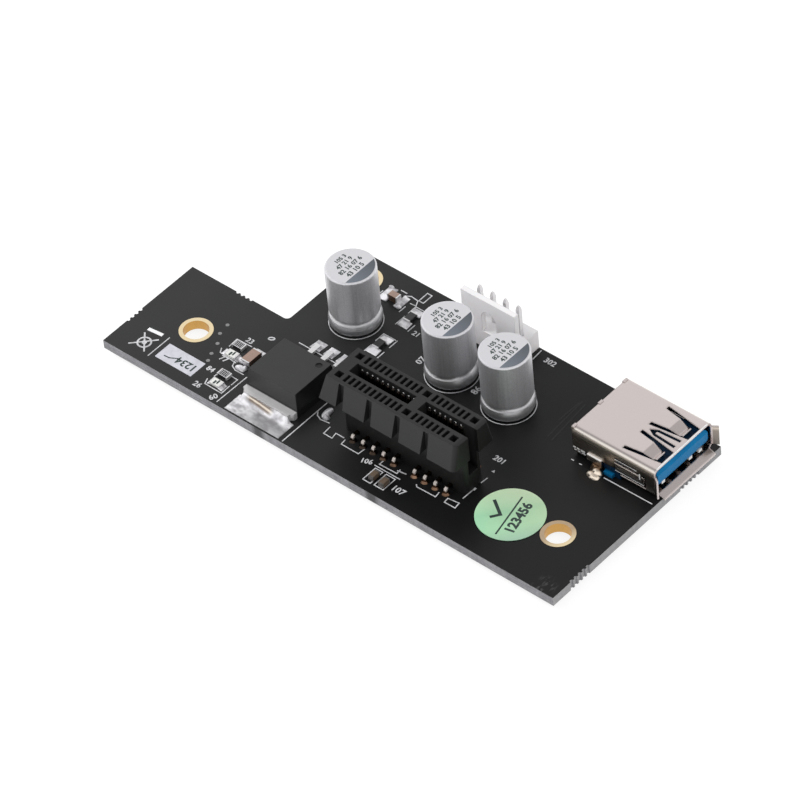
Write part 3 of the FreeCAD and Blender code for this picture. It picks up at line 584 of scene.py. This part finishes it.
def slate_print_shade(place):
    """Blue-grey ink of the pole marks on the cans, thinner towards the front."""
    ink = place.grain(1500.0, 3.0)
    thin = (1 - place.card("Y").rise(22.8, 29.0)) * 0.8 + ink * 0.2
    return {
        "Base Color": thin.mix((0.058, 0.066, 0.080), (0.150, 0.170, 0.200)),
        "Roughness": ink * 0.12 + 0.4,
        "Normal": ink.bump(0.003),
    }


def grey_film_shade(place):
    """Thin grey film over tin."""
    film = place.grain(1500.0, 3.0)
    return {"Base Color": film.mix(0.15, 0.24), "Roughness": film * 0.1 + 0.45, "Normal": film.bump(0.004)}


def highlight_metal_shade(place):
    """Pale rolled metal, seen edge on, for painted highlights."""
    frost = place.grain(2600.0, 3.0)
    return {"Base Color": frost.mix(0.80, 0.92), "Metallic": 0.3, "Roughness": frost * 0.1 + 0.35}


def track_shade(place):
    """Mask over raised copper, a little paler than the card round it."""
    cloud = place.grain(900.0, 2.0)
    return {"Base Color": cloud.mix(0.010, 0.020), "Roughness": cloud * 0.1 + 0.35, "Specular IOR Level": 0.25}


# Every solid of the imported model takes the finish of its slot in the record. Two have a finish of their own.
shades = {
    "board_mask": mask_shade,
    "gold_plating": gold_shade,
    "slot_plastic": slot_shade,
    "contact_gold": contact_shade,
    "solder": solder_shade,
    "can_aluminium": can_shade,
    "bung_rubber": rubber_shade,
    "tin_plate": tin_shade,
    "usb_steel": shell_shade,
    "usb_plastic": usb_blue_shade,
    "header_plastic": header_shade,
    "regulator_plastic": regulator_shade,
    "chip_ceramic": ceramic_shade,
    "resistor_body": resistor_shade,
    "lamp_body": lamp_shade,
    "label_paper": label_shade,
}
finishes = {slot: finish(slot, shade) for slot, shade in shades.items()}
white_print = finish("white_print", print_shade)
field_print = finish("field_print", field_shade)
dark_print = finish("dark_print", dark_print_shade)
slate_print = finish("slate_print", slate_print_shade)
tinned_pad = finish("tinned_pad", pad_shade)
grey_film = finish("grey_film", grey_film_shade)
highlight_metal = finish("highlight_metal", highlight_metal_shade)
track_mask = finish("track_mask", track_shade)
dull_tab = finish("dull_tab", tab_shade)
smooth_solder = finish("smooth_solder", smooth_solder_shade)
own_finishes = {"regulator_tab": dull_tab, "usb_solder": smooth_solder}
for part in frame["record"]["subparts"]:
    node = nodes[part["node"]]
    node.data.materials.clear()
    node.data.materials.append(own_finishes.get(part["node"], finishes[part["material_slot"]]))


# Shapes
def piece(name, bm, material):
    """A finished piece that rides with the card."""
    mesh = bpy.data.meshes.new(name)
    bm.to_mesh(mesh)
    bm.free()
    mesh.materials.append(material)
    made = bpy.data.objects.new(name, mesh)
    bpy.context.collection.objects.link(made)
    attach(made, "root")


def smooth(bm):
    """Shades every face as part of one rounded surface."""
    for face in bm.faces:
        face.smooth = True


def slab(bm, x, y, z):
    """A box between (low, high) pairs along, across and above the card."""
    size = [(high - low) * mm for low, high in (x, y, z)]
    middle = spot((x[0] + x[1]) / 2, (y[0] + y[1]) / 2, (z[0] + z[1]) / 2)
    bmesh.ops.create_cube(bm, size=1.0, matrix=Matrix.LocRotScale(middle, None, Vector(size)))


def bar(bm, start, end, width=line_width, z=print_z):
    """A straight printed stroke between two places."""
    run = Vector(end) - Vector(start)
    middle = (Vector(start) + Vector(end)) / 2
    turn = Matrix.Rotation(math.atan2(run.y, run.x), 4, "Z")
    size = Vector((run.length + width, width, z[1] - z[0])) * mm
    matrix = Matrix.Translation(spot(middle.x, middle.y, (z[0] + z[1]) / 2)) @ turn @ Matrix.Diagonal((*size, 1))
    bmesh.ops.create_cube(bm, size=1.0, matrix=matrix)


def raised(extra):
    """Heights of print that stands a little above the rest, so that crossing strokes don't share a face."""
    return (print_low, print_high + extra)


def mark_on(top, thickness):
    """Heights of a mark on a piece whose top is here. Its underside lies a little inside the piece."""
    return (top - 0.01, top + thickness)


def stroke(bm, points, width=line_width, z=print_z):
    """A printed line through several places. Every second stretch is a little higher than its neighbours."""
    for index, (start, end) in enumerate(zip(points, points[1:])):
        bar(bm, start, end, width, (z[0], z[1] + 0.003 * (index % 2)))


def drum(bm, matrix, radius, depth, steps):
    """A round plate or bar with closed ends, about the matrix's own upright axis."""
    return bmesh.ops.create_cone(
        bm, cap_ends=True, segments=steps, radius1=radius * mm, radius2=radius * mm, depth=depth, matrix=matrix
    )["verts"]


def disc(bm, x, y, radius, z=print_z, steps=24):
    """A flat round plate."""
    middle = Matrix.Translation(spot(x, y, (z[0] + z[1]) / 2))
    return drum(bm, middle, radius, (z[1] - z[0]) * mm, steps)


def ring(bm, x, y, inner, outer, z=print_z, steps=40):
    """A flat printed ring, whose section is spun about an upright axis."""
    section = [(inner, z[0]), (outer, z[0]), (outer, z[1]), (inner, z[1])]
    made = [bm.verts.new(spot(x + radius, y, height)) for radius, height in section]
    edges = [bm.edges.new(pair) for pair in zip(made, made[1:] + made[:1])]
    bmesh.ops.spin(
        bm, geom=made + edges, cent=spot(x, y), axis=(0, 0, 1), angle=math.tau, steps=steps, use_merge=True
    )


def mend(bm):
    """Joins doubled points and turns every face outwards."""
    bmesh.ops.remove_doubles(bm, verts=bm.verts, dist=0.0005 * mm)
    bmesh.ops.recalc_face_normals(bm, faces=bm.faces)


def figures(bm, text, x, y, size, turn=0.0, z=print_z, bold=0.025):
    """Plain figures printed flat, centred on a place, turned by degrees from the card's long side."""
    curve = bpy.data.curves.new("figures", "FONT")
    curve.body = text
    curve.size = size * mm
    curve.align_x = "CENTER"
    curve.align_y = "CENTER"
    curve.offset = size * bold * mm
    curve.extrude = (z[1] - z[0]) / 2 * mm
    curve.resolution_u = 2
    holder = bpy.data.objects.new("figures", curve)
    mesh = bpy.data.meshes.new_from_object(holder)
    mesh.transform(Matrix.Translation(spot(x, y, (z[0] + z[1]) / 2)) @ Matrix.Rotation(math.radians(turn), 4, "Z"))
    bm.from_mesh(mesh)
    bpy.data.objects.remove(holder)
    bpy.data.curves.remove(curve)
    bpy.data.meshes.remove(mesh)


def mound(bm, x, y, radii, height, steps=24, lump=0.12):
    """A rounded, slightly lumpy heap of solder on the card."""
    size = Vector((radii[0], radii[1], height)) * mm
    matrix = Matrix.LocRotScale(spot(x, y), None, size)
    made = bmesh.ops.create_uvsphere(bm, u_segments=steps, v_segments=steps // 2, radius=1.0, matrix=matrix)["verts"]
    floor_z = spot(0, 0, print_low).z
    for vert in made:
        place = on_card(vert.co)
        swell = 1 + lump * noise.noise(place * 1.6)
        vert.co = spot(x, y) + (vert.co - spot(x, y)) * swell
        vert.co.z = max(vert.co.z, floor_z)


def sheet(bm, x, y, height, cells):
    """A thin plate on the card, whose top follows height(x, y) in millimetres."""
    size = Vector(((x[1] - x[0]) * mm, (y[1] - y[0]) * mm, 1.0))
    matrix = Matrix.LocRotScale(spot((x[0] + x[1]) / 2, (y[0] + y[1]) / 2), None, size)
    made = bmesh.ops.create_grid(bm, x_segments=cells[0], y_segments=cells[1], size=0.5, matrix=matrix)["verts"]
    for vert in made:
        place = on_card(vert.co)
        vert.co = spot(place.x, place.y, height(place.x, place.y))
    rim = {edge for vert in made for edge in vert.link_edges if edge.is_boundary}
    skirt = bmesh.ops.extrude_edge_only(bm, edges=list(rim))["geom"]
    for vert in skirt:
        if isinstance(vert, bmesh.types.BMVert):
            vert.co.z = spot(0, 0, print_low).z
    foot = [edge for edge in skirt if isinstance(edge, bmesh.types.BMEdge) and edge.is_boundary]
    bmesh.ops.edgeloop_fill(bm, edges=foot)


def eased(value):
    """0 to 1 with soft ends, for a value that runs from 0 to 1."""
    value = min(max(value, 0.0), 1.0)
    return value * value * (3 - 2 * value)


def lumps(x, y, size, seed):
    """Gentle unevenness from -1 to 1, with lumps of about this size in millimetres."""
    return noise.noise(Vector((x / size, y / size, seed)))


def pad(bm, x, y, low, high, chip_side, cells=(10, 10)):
    """A tinned pad whose solder climbs towards the side where its chip stands."""
    sides = {"left": (x[1], -1, 0), "right": (x[0], 1, 0), "front": (y[1], -1, 1), "rear": (y[0], 1, 1)}
    start, way, axis = sides[chip_side]
    span = x[1] - x[0] if axis == 0 else y[1] - y[0]

    def height(at_x, at_y):
        """Thin at the rim, swollen within it, and highest at the chip."""
        climb = eased(way * ((at_x, at_y)[axis] - start) / span)
        edge = eased(min(at_x - x[0], x[1] - at_x, at_y - y[0], y[1] - at_y) / 0.25)
        return low + (high - low) * climb * climb + 0.05 * edge * (1 + lumps(at_x, at_y, 0.5, start))

    sheet(bm, x, y, height, cells)


def segment(bm, x, y, radius, chord, z):
    """The part of a flat disc beyond a chord that runs across the card."""
    made = disc(bm, x, y, radius, z, 96)
    geom = set(made)
    for vert in made:
        geom.update(vert.link_edges)
        geom.update(vert.link_faces)
    cut = bmesh.ops.bisect_plane(
        bm,
        geom=list(geom),
        dist=0.00001 * mm,
        plane_co=spot(x + chord, y),
        plane_no=(1, 0, 0),
        clear_inner=True,
    )["geom_cut"]
    bmesh.ops.edgeloop_fill(bm, edges=[edge for edge in cut if isinstance(edge, bmesh.types.BMEdge)])


def rod(bm, start, end, radius, steps=10):
    """A round bar between two places, given along, across and above the card."""
    start, end = spot(*start), spot(*end)
    run = end - start
    matrix = Matrix.Translation((start + end) / 2) @ run.to_track_quat("Z", "Y").to_matrix().to_4x4()
    drum(bm, matrix, radius, run.length, steps)


def placed(points, x, y, turn):
    """Plan points turned by degrees and moved to a place."""
    cosine, sine = math.cos(math.radians(turn)), math.sin(math.radians(turn))
    return [(x + cosine * u - sine * v, y + sine * u + cosine * v) for u, v in points]


# Screen print on the card: lines through their places, frames round the front chips, and figures with their place,
# size and turn
card_print = bmesh.new()
card_lines = [
    [(7.7, 1.7), (7.7, 6.35)],
    [(22.6, 0.65), (22.7, 7.05)],
    [(35.9, 0.3), (35.9, 10.2)],
    [(24.1, 17.28), (31.75, 17.28)],
    [(16.15, 10.47), (16.05, 12.25), (18.9, 12.35)],
    [(15.5, 9.4), (15.95, 8.65), (19.3, 8.35)],
    [(18.65, 4.35), (18.75, 5.9), (21.95, 5.85), (21.95, 4.5)],
    [(18.2, 3.3), (18.55, 2.35), (21.95, 2.3), (21.9, 4.1)],
    [(19.0, 8.5), (19.35, 7.6), (20.3, 7.15), (21.9, 7.2)],
    [(36.05, 8.0), (36.5, 7.4), (37.4, 7.05), (38.9, 7.25)],
    [(39.6, 6.66), (39.7, 5.15), (41.35, 5.15), (41.15, 6.25), (42.7, 6.25)],
    [(43.15, 6.0), (43.25, 5.05), (46.6, 5.05), (46.7, 6.25)],
    [(50.5, 6.15), (50.5, 5.3), (53.8, 5.4), (53.7, 6.2)],
    [(53.5, 5.9), (54.95, 6.1)],
    [(57.55, 5.4), (57.9, 5.1), (61.4, 5.2), (61.25, 6.15)],
    [(63.05, 5.95), (63.15, 5.15), (65.15, 5.2), (65.0, 6.3), (63.05, 6.05)],
    [(64.8, 7.4), (64.85, 9.55)],
    [(64.85, 11.4), (64.95, 12.6)],
    [(54.3, 35.5), (54.15, 37.6)],
    [(32.5, 34.8), (32.5, 36.8), (33.4, 36.8), (33.4, 34.8), (32.5, 34.8)],
    [(30.9, 33.4), (30.2, 34.4), (31.0, 34.85), (32.4, 34.7), (32.9, 33.7), (31.9, 33.6)],
    [(33.0, 31.9), (33.0, 33.55), (34.6, 33.55)],
    [(33.0, 28.95), (33.0, 31.0)],
    [(32.95, 24.5), (32.95, 26.3), (35.3, 26.3)],
    [(33.0, 21.9), (33.0, 23.3)],
    [(26.7, 31.5), (26.7, 33.2)],
    [(35.6, 24.6), (35.6, 26.3)],
    [(35.6, 21.9), (35.6, 23.3)],
    [(35.5, 28.9), (35.5, 30.4)],
    [(35.5, 31.8), (35.5, 33.4)],
    [(31.7, 31.3), (31.7, 32.6)],
    [(28.9, 34.95), (30.0, 34.95)],
    [(78.5, 22.87), (87.35, 22.95)],
    [(72.3, 22.95), (72.65, 22.95)],
    [(73.8, 22.95), (74.1, 22.95)],
]
for points in card_lines:
    stroke(card_print, points)
chip_frames = [((50.55, 52.0), (1.55, 4.35)), ((52.65, 54.4), (1.65, 4.35))]
for x, y in chip_frames:
    stroke(card_print, [(x[0], y[0]), (x[1], y[0]), (x[1], y[1]), (x[0], y[1]), (x[0], y[0])])
stroke(card_print, [(50.1, 4.75), (54.9, 4.75)])
round_mark = (5.3, 3.4)
bar(card_print, (3.6, 1.9), (6.65, 5.0), 0.26)
bar(card_print, (4.0, 4.9), (6.55, 2.0), 0.26, raised(0.002))
ring(card_print, *round_mark, 0.91, 1.19, raised(0.004))
disc(card_print, *round_mark, 0.4, raised(0.006))
slab(card_print, (64.5, 65.1), (9.55, 10.1), print_z)
disc(card_print, 64.8, 14.2, 0.34, steps=3)
card_figures = [
    ("0", 20.1, 15.4, 1.6, -60),
    ("21", 36.9, 29.1, 1.3, 0),
    ("07", 41.15, 25.3, 1.5, 90),
    ("86", 51.9, 25.45, 1.6, 90),
    ("201", 64.0, 16.5, 1.4, 0),
    ("302", 56.8, 36.5, 1.4, 0),
    ("106", 48.6, 4.6, 1.3, 20),
    ("107", 56.2, 2.9, 1.55, 0),
    ("84", 17.2, 5.1, 1.35, 0),
    ("26", 17.8, 1.5, 1.4, 0),
    ("60", 21.5, 1.0, 1.4, 60),
    ("23", 17.9, 13.1, 1.3, 0),
    ("77", 17.3, 7.9, 1.4, 0),
]
for text, x, y, size, turn in card_figures:
    figures(card_print, text, x, y, size, turn)
can_ring = (4.08, 4.22)
can_tops = []
for side in ("left", "middle", "right"):
    low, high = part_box(side + "_capacitor_can")
    middle = on_card((low + high) / 2)
    can_tops.append((middle.x, middle.y, on_card(high).z))
    ring(card_print, middle.x, middle.y, *can_ring, steps=64)
mend(card_print)
piece("card_print", card_print, white_print)

# White field with a tick, and the dash beside the round mark
card_field = bmesh.new()
slab(card_field, (8.6, 15.85), (2.15, 5.5), print_z)
bar(card_field, (4.1, 5.93), (6.2, 6.15), 0.62)
piece("card_field", card_field, field_print)
field_marks = bmesh.new()
mark_z = (print_high - 0.004, print_high + 0.008)
stroke(field_marks, [(11.9, 3.9), (10.6, 3.2), (9.7, 3.1)], 0.2, mark_z)
figures(field_marks, "1234", 13.6, 3.7, 1.9, 180, mark_z)
mend(field_marks)
piece("field_marks", field_marks, dark_print)

# Tinned pads: the wide one of the regulator's tab, those of its leads and those of the chips
card_pads = bmesh.new()
pad_low = 0.03
lead_fillet = 0.22
chip_fillet = 0.25
tab_pad_x = (24.35, 35.05)
tab_pad_y = (0.3, 3.78)
tab_x = (24.7, 34.5)
fillet_start = 2.5
fillet_height = 0.95


def tab_pad_height(x, y):
    """Flat solder with a few lumps, which climbs to the regulator tab's front face."""
    climb = eased((y - fillet_start) / (tab_pad_y[1] - fillet_start)) * eased(min(x - tab_x[0], tab_x[1] - x) / 0.6)
    edge = eased(min(x - tab_pad_x[0], tab_pad_x[1] - x, y - tab_pad_y[0]) / 0.4)
    lumpy = 0.08 + 0.07 * lumps(x, y, 1.3, 3.0) + 0.03 * lumps(x, y, 0.45, 8.0)
    return pad_low + edge * lumpy + fillet_height * climb


sheet(card_pads, tab_pad_x, tab_pad_y, tab_pad_height, (60, 30))
for x in ((26.0, 27.9), (28.65, 30.4), (31.15, 32.95)):
    pad(card_pads, x, (17.45, 19.5), pad_low, lead_fillet, "front", (14, 14))
for x, y, chip_side in (
    ((33.1, 35.15), (21.95, 23.25), "rear"),
    ((33.1, 35.15), (24.75, 26.15), "front"),
    ((33.15, 35.1), (29.0, 30.35), "rear"),
    ((33.15, 35.1), (31.85, 33.3), "front"),
    ((26.95, 28.65), (31.65, 34.6), "right"),
    ((30.25, 31.3), (31.6, 34.3), "left"),
    ((19.9, 21.7), (11.65, 12.6), "front"),
    ((16.2, 17.0), (8.6, 9.85), "right"),
    ((18.8, 19.5), (8.6, 9.85), "left"),
    ((18.75, 19.25), (2.6, 3.95), "right"),
    ((20.95, 21.7), (2.6, 3.95), "left"),
):
    pad(card_pads, x, y, pad_low, chip_fillet, chip_side)
mend(card_pads)
smooth(card_pads)
piece("card_pads", card_pads, tinned_pad)

# Loose heaps of solder beside the slot and the chips
heaps = bmesh.new()
for x, y, radii, height in (
    (37.4, 8.65, (0.6, 1.2), 0.6),
    (37.95, 7.75, (0.6, 0.5), 0.8),
    (20.0, 9.05, (0.75, 0.4), 0.95),
    (20.9, 8.95, (0.5, 0.4), 0.8),
    (20.75, 7.85, (0.95, 0.6), 0.5),
    (21.4, 8.2, (0.4, 0.4), 0.7),
    (31.0, 31.9, (0.5, 0.4), 0.45),
    (27.3, 34.6, (0.5, 0.3), 0.3),
):
    mound(heaps, x, y, radii, height)
mend(heaps)
smooth(heaps)
piece("solder_heaps", heaps, tinned_pad)

# Covered vias
vias = bmesh.new()
for x, y in ((12.85, 13.65), (13.18, 11.62), (14.33, 9.8), (15.05, 7.67), (15.64, 6.25)):
    disc(vias, x, y, 0.31, raised(0.01), 16)
piece("covered_vias", vias, grey_film)

# Raised tracks beside the USB socket
tracks = bmesh.new()
for points in (
    [(66.45, 24.54), (65.91, 32.95)],
    [(67.45, 24.26), (66.66, 32.73)],
    [(65.61, 28.05), (65.69, 32.52)],
):
    stroke(tracks, points, 0.22, (print_low, 0.02))
mend(tracks)
piece("card_tracks", tracks, track_mask)

# Marks on the chips beside the regulator
chip_marks = bmesh.new()
for chip in ("left_rear_lamp", "left_front_lamp"):
    low, high = (on_card(corner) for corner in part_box(chip))
    middle = (low + high) / 2
    z = mark_on(high.z, 0.012)
    slab(chip_marks, (middle.x - 0.35, middle.x - 0.02), (low.y + 0.1, middle.y + 0.2), z)
    slab(chip_marks, (middle.x + 0.12, middle.x + 0.4), (middle.y - 0.3, high.y - 0.1), z)
piece("chip_marks", chip_marks, dark_print)
chip_stripes = bmesh.new()
for chip in ("left_rear_resistor", "left_front_resistor"):
    low, high = (on_card(corner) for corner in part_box(chip))
    z = mark_on(high.z, 0.012)
    for y in (low.y + 0.06, high.y - 0.06):
        slab(chip_stripes, (low.x, high.x), (y - 0.06, y + 0.06), z)
    for index in range(5):
        x = low.x + (high.x - low.x) * (index + 0.5) / 5
        slab(chip_stripes, (x - 0.04, x + 0.04), (low.y + 0.2, high.y - 0.2), z)
piece("chip_stripes", chip_stripes, white_print)

# Bright tips of the slot's contacts, in two rows that skip the key
tip_count = 18
first_tip_x = 43.15
tips_before_key = 11
key_width = 2.0
tip_aside = 1.1
tip_height = 10.35
tip_radius = 0.19
contact_tips = bmesh.new()
for index in range(tip_count):
    x = first_tip_x + index + (key_width if index >= tips_before_key else 0.0)
    for y in (slot_middle_y - tip_aside, slot_middle_y + tip_aside):
        matrix = Matrix.Translation(spot(x, y, tip_height))
        bmesh.ops.create_uvsphere(contact_tips, u_segments=12, v_segments=8, radius=tip_radius * mm, matrix=matrix)
smooth(contact_tips)
piece("contact_tips", contact_tips, finishes["tin_plate"])

# Pole marks and figures on the capacitors. Each row has its text, its shifts along and across, and its size.
pole_marks = bmesh.new()
can_figures = bmesh.new()
pole_radius = 3.68
pole_chord = 1.82
can_rows = [
    ("43 10 5", 1.15, -0.2, 1.15),
    ("82 16 07 6", 0.0, 0.0, 1.1),
    ("47 21 9", -1.1, -0.1, 1.05),
    ("105 3", -2.15, 0.2, 1.0),
]
for x, y, top in can_tops:
    z = mark_on(top, 0.01)
    segment(pole_marks, x, y, pole_radius, pole_chord, z)
    for text, offset, shift, size in can_rows:
        figures(can_figures, text, x + offset, y + shift, size, 90, z, 0.03)
mend(pole_marks)
piece("pole_marks", pole_marks, slate_print)
mend(can_figures)
piece("can_figures", can_figures, dark_print)

# Print on the round label: a tick, a line and plain figures
label_z = mark_on(on_card(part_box("label_disc")[1]).z, 0.01)
label_turn = 102.0
label_marks = bmesh.new()
stroke(label_marks, [(73.31, 4.76), (71.63, 12.55)], 0.26, label_z)
tick = placed([(-1.5, 0.15), (-0.6, -0.85), (1.5, 1.2)], 70.4, 8.45, label_turn)
stroke(label_marks, tick, 0.5, label_z)
figures(label_marks, "123456", 73.95, 9.1, 2.15, label_turn, label_z, 0.04)
mend(label_marks)
piece("label_marks", label_marks, dark_print)

# Solder and trims of the USB socket
leg_solder = bmesh.new()
mound(leg_solder, 76.95, shell_near_y - 1.5, (1.2, 0.85), 0.62, 40, 0.1)
mound(leg_solder, 77.15, shell_near_y - 0.85, (0.95, 0.9), 1.05, 40, 0.04)
mend(leg_solder)
smooth(leg_solder)
piece("leg_solder", leg_solder, smooth_solder)
usb_lugs = bmesh.new()
lug_aside = 6.75
for y in (socket_middle_y - lug_aside, socket_middle_y + lug_aside):
    slab(usb_lugs, (77.95, 79.55), (y - 0.25, y + 0.25), (0.02, 0.6))
piece("usb_lugs", usb_lugs, finishes["usb_plastic"])
usb_trims = bmesh.new()
for y in (24.4, 30.4, 36.0):
    slab(usb_trims, (71.75, 72.2), (y - 0.45, y + 0.45), (5.2, 5.7))
piece("usb_trims", usb_trims, finishes["usb_steel"])

# Painted highlights on the USB socket: pale strips along its rolled mouth, the folds of the side springs, the ends
# of its contacts, and marks and a ledge on its walls
shell_walls = (shell_near_y, shell_near_y + shell_width)
painted_highlights = bmesh.new()
rod(painted_highlights, (87.2, shell_near_y + 0.75, 5.5), (87.2, shell_near_y + 12.35, 5.5), 0.13)
for face_y in shell_walls:
    skin = (face_y - 0.012, face_y + 0.012)
    slab(painted_highlights, (79.9, 84.0), skin, (3.85, 3.98))
    slab(painted_highlights, (79.9, 85.2), skin, (1.62, 1.75))
    slab(painted_highlights, (84.4, 84.62), skin, (2.5, 3.6))
    for x in ((71.95, 72.45), (72.65, 73.15), (73.4, 74.2)):
        slab(painted_highlights, x, skin, (1.65, 1.95))
        slab(painted_highlights, (x[0] + 0.2, x[1] + 0.1), skin, (1.25, 1.48))
    slab(painted_highlights, (74.75, 77.3), (face_y - 0.27, face_y + 0.27), (2.03, 2.08))
for y, z in ((26.0, 2.0), (32.2, 1.85), (34.4, 1.6)):
    slab(painted_highlights, (86.7, 87.15), (y - 0.35, y + 0.35), (z - 0.25, z + 0.25))
piece("painted_highlights", painted_highlights, highlight_metal)

# Painted shade: dark strips on the walls for the gaps beside the side springs
spring_gap_shadows = bmesh.new()
for face_y in shell_walls:
    skin = (face_y - 0.008, face_y + 0.008)
    slab(spring_gap_shadows, (79.9, 84.1), skin, (3.98, 4.22))
    slab(spring_gap_shadows, (80.0, 85.3), skin, (1.75, 2.1))
    slab(spring_gap_shadows, (84.62, 84.8), skin, (2.4, 3.7))
piece("spring_gap_shadows", spring_gap_shadows, finishes["bung_rubber"])


# Stage: a pale floor and a white room
room_light = 0.6
overhead_dim = 0.55
floor_glow = 0.86
floor_size = 3.0
lamp_size = 0.5
seen_rays = ("Is Camera Ray", "Is Glossy Ray", "Is Transmission Ray")


def rays(tree, *kinds):
    """1 for a ray of one of these kinds, and 0 for any other."""
    path = tree.nodes.new("ShaderNodeLightPath")
    chosen = Wire(tree, path.outputs[kinds[0]])
    for kind in kinds[1:]:
        chosen = chosen.most(Wire(tree, path.outputs[kind]))
    return chosen


def white_room():
    """White for what the camera and the reflections see, dimmer straight overhead, and plain light elsewhere."""
    world = bpy.data.worlds.new("room")
    bpy.context.scene.world = world
    world.use_nodes = True
    tree = world.node_tree
    back = tree.nodes["Background"]
    glossy = rays(tree, "Is Glossy Ray")
    upward = glossy.node("ShaderNodeTexCoord", output="Generated").along("Z")
    overhead = upward.rise(0.73, 0.88) * glossy
    strength = rays(tree, *seen_rays) * (1 - room_light - overhead * overhead_dim) + room_light
    back.inputs["Color"].default_value = (1, 1, 1, 1)
    tree.links.new(strength.socket, back.inputs["Strength"])


white_room()


def floor_material():
    """Pale floor that is white to the camera and keeps a soft shadow."""
    made = bpy.data.materials.new("floor")
    made.use_nodes = True
    tree = made.node_tree
    tree.nodes.clear()
    seen = rays(tree, *seen_rays)
    glow = seen.node("ShaderNodeEmission", {}, {"Color": (1, 1, 1, 1), "Strength": floor_glow})
    matte = seen.node("ShaderNodeBsdfDiffuse", {}, {"Color": (0.22, 0.22, 0.22, 1)})
    bright = seen.node("ShaderNodeAddShader", {}, {0: glow, 1: matte})
    plain = seen.node("ShaderNodeBsdfDiffuse", {}, {"Color": (0.8, 0.8, 0.8, 1)})
    both = seen.node("ShaderNodeMixShader", {}, {0: seen, 1: plain, 2: bright})
    out = tree.nodes.new("ShaderNodeOutputMaterial")
    tree.links.new(both.socket, out.inputs["Surface"])
    return made


floor_bm = bmesh.new()
bmesh.ops.create_grid(floor_bm, x_segments=1, y_segments=1, size=floor_size)
floor_mesh = bpy.data.meshes.new("floor")
floor_bm.to_mesh(floor_mesh)
floor_bm.free()
floor_mesh.materials.append(floor_material())
floor = bpy.data.objects.new("floor", floor_mesh)
bpy.context.collection.objects.link(floor)


def lamp(name, place, power):
    """A square soft lamp that shines at the scene's origin and is not mirrored in metal."""
    light = bpy.data.lights.new(name, "AREA")
    light.shape = "SQUARE"
    light.size = lamp_size
    light.energy = power
    made = bpy.data.objects.new(name, light)
    made.visible_glossy = False
    made.location = place
    made.rotation_mode = "QUATERNION"
    made.rotation_quaternion = (-Vector(place)).to_track_quat("-Z", "Y")
    bpy.context.collection.objects.link(made)


lamp("left_lamp", (-0.55, -0.25, 0.55), 5.0)
lamp("right_lamp", (0.5, -0.1, 0.6), 1.4)

# Camera: its angles in degrees, the place it aims at, how far it stands from there, and its lens
camera_azimuth = 45.23
camera_height = 44.43
camera_roll = -5.90
camera_aim = (44.14, 17.16)
camera_distance = 0.871
camera_lens = 266.1


def camera():
    """The camera at the photo's angle, with the photo's slight roll."""
    azimuth, height, roll = (math.radians(angle) for angle in (camera_azimuth, camera_height, camera_roll))
    back = Vector(
        (math.sin(azimuth) * math.cos(height), -math.cos(azimuth) * math.cos(height), math.sin(height))
    )
    right = Vector((math.cos(azimuth), math.sin(azimuth), 0))
    up = back.cross(right)
    tilted_right = math.cos(roll) * right + math.sin(roll) * up
    tilted_up = math.cos(roll) * up - math.sin(roll) * right
    lens = bpy.data.cameras.new("camera")
    lens.sensor_width = 36.0
    lens.lens = camera_lens
    lens.clip_start = 0.01
    lens.clip_end = 100.0
    made = bpy.data.objects.new("camera", lens)
    turn = Matrix((tilted_right, tilted_up, back)).transposed().to_4x4()
    made.matrix_world = Matrix.Translation(spot(*camera_aim) + back * camera_distance) @ turn
    bpy.context.collection.objects.link(made)
    bpy.context.scene.camera = made


camera()
bpy.context.scene.view_settings.view_transform = "Standard"
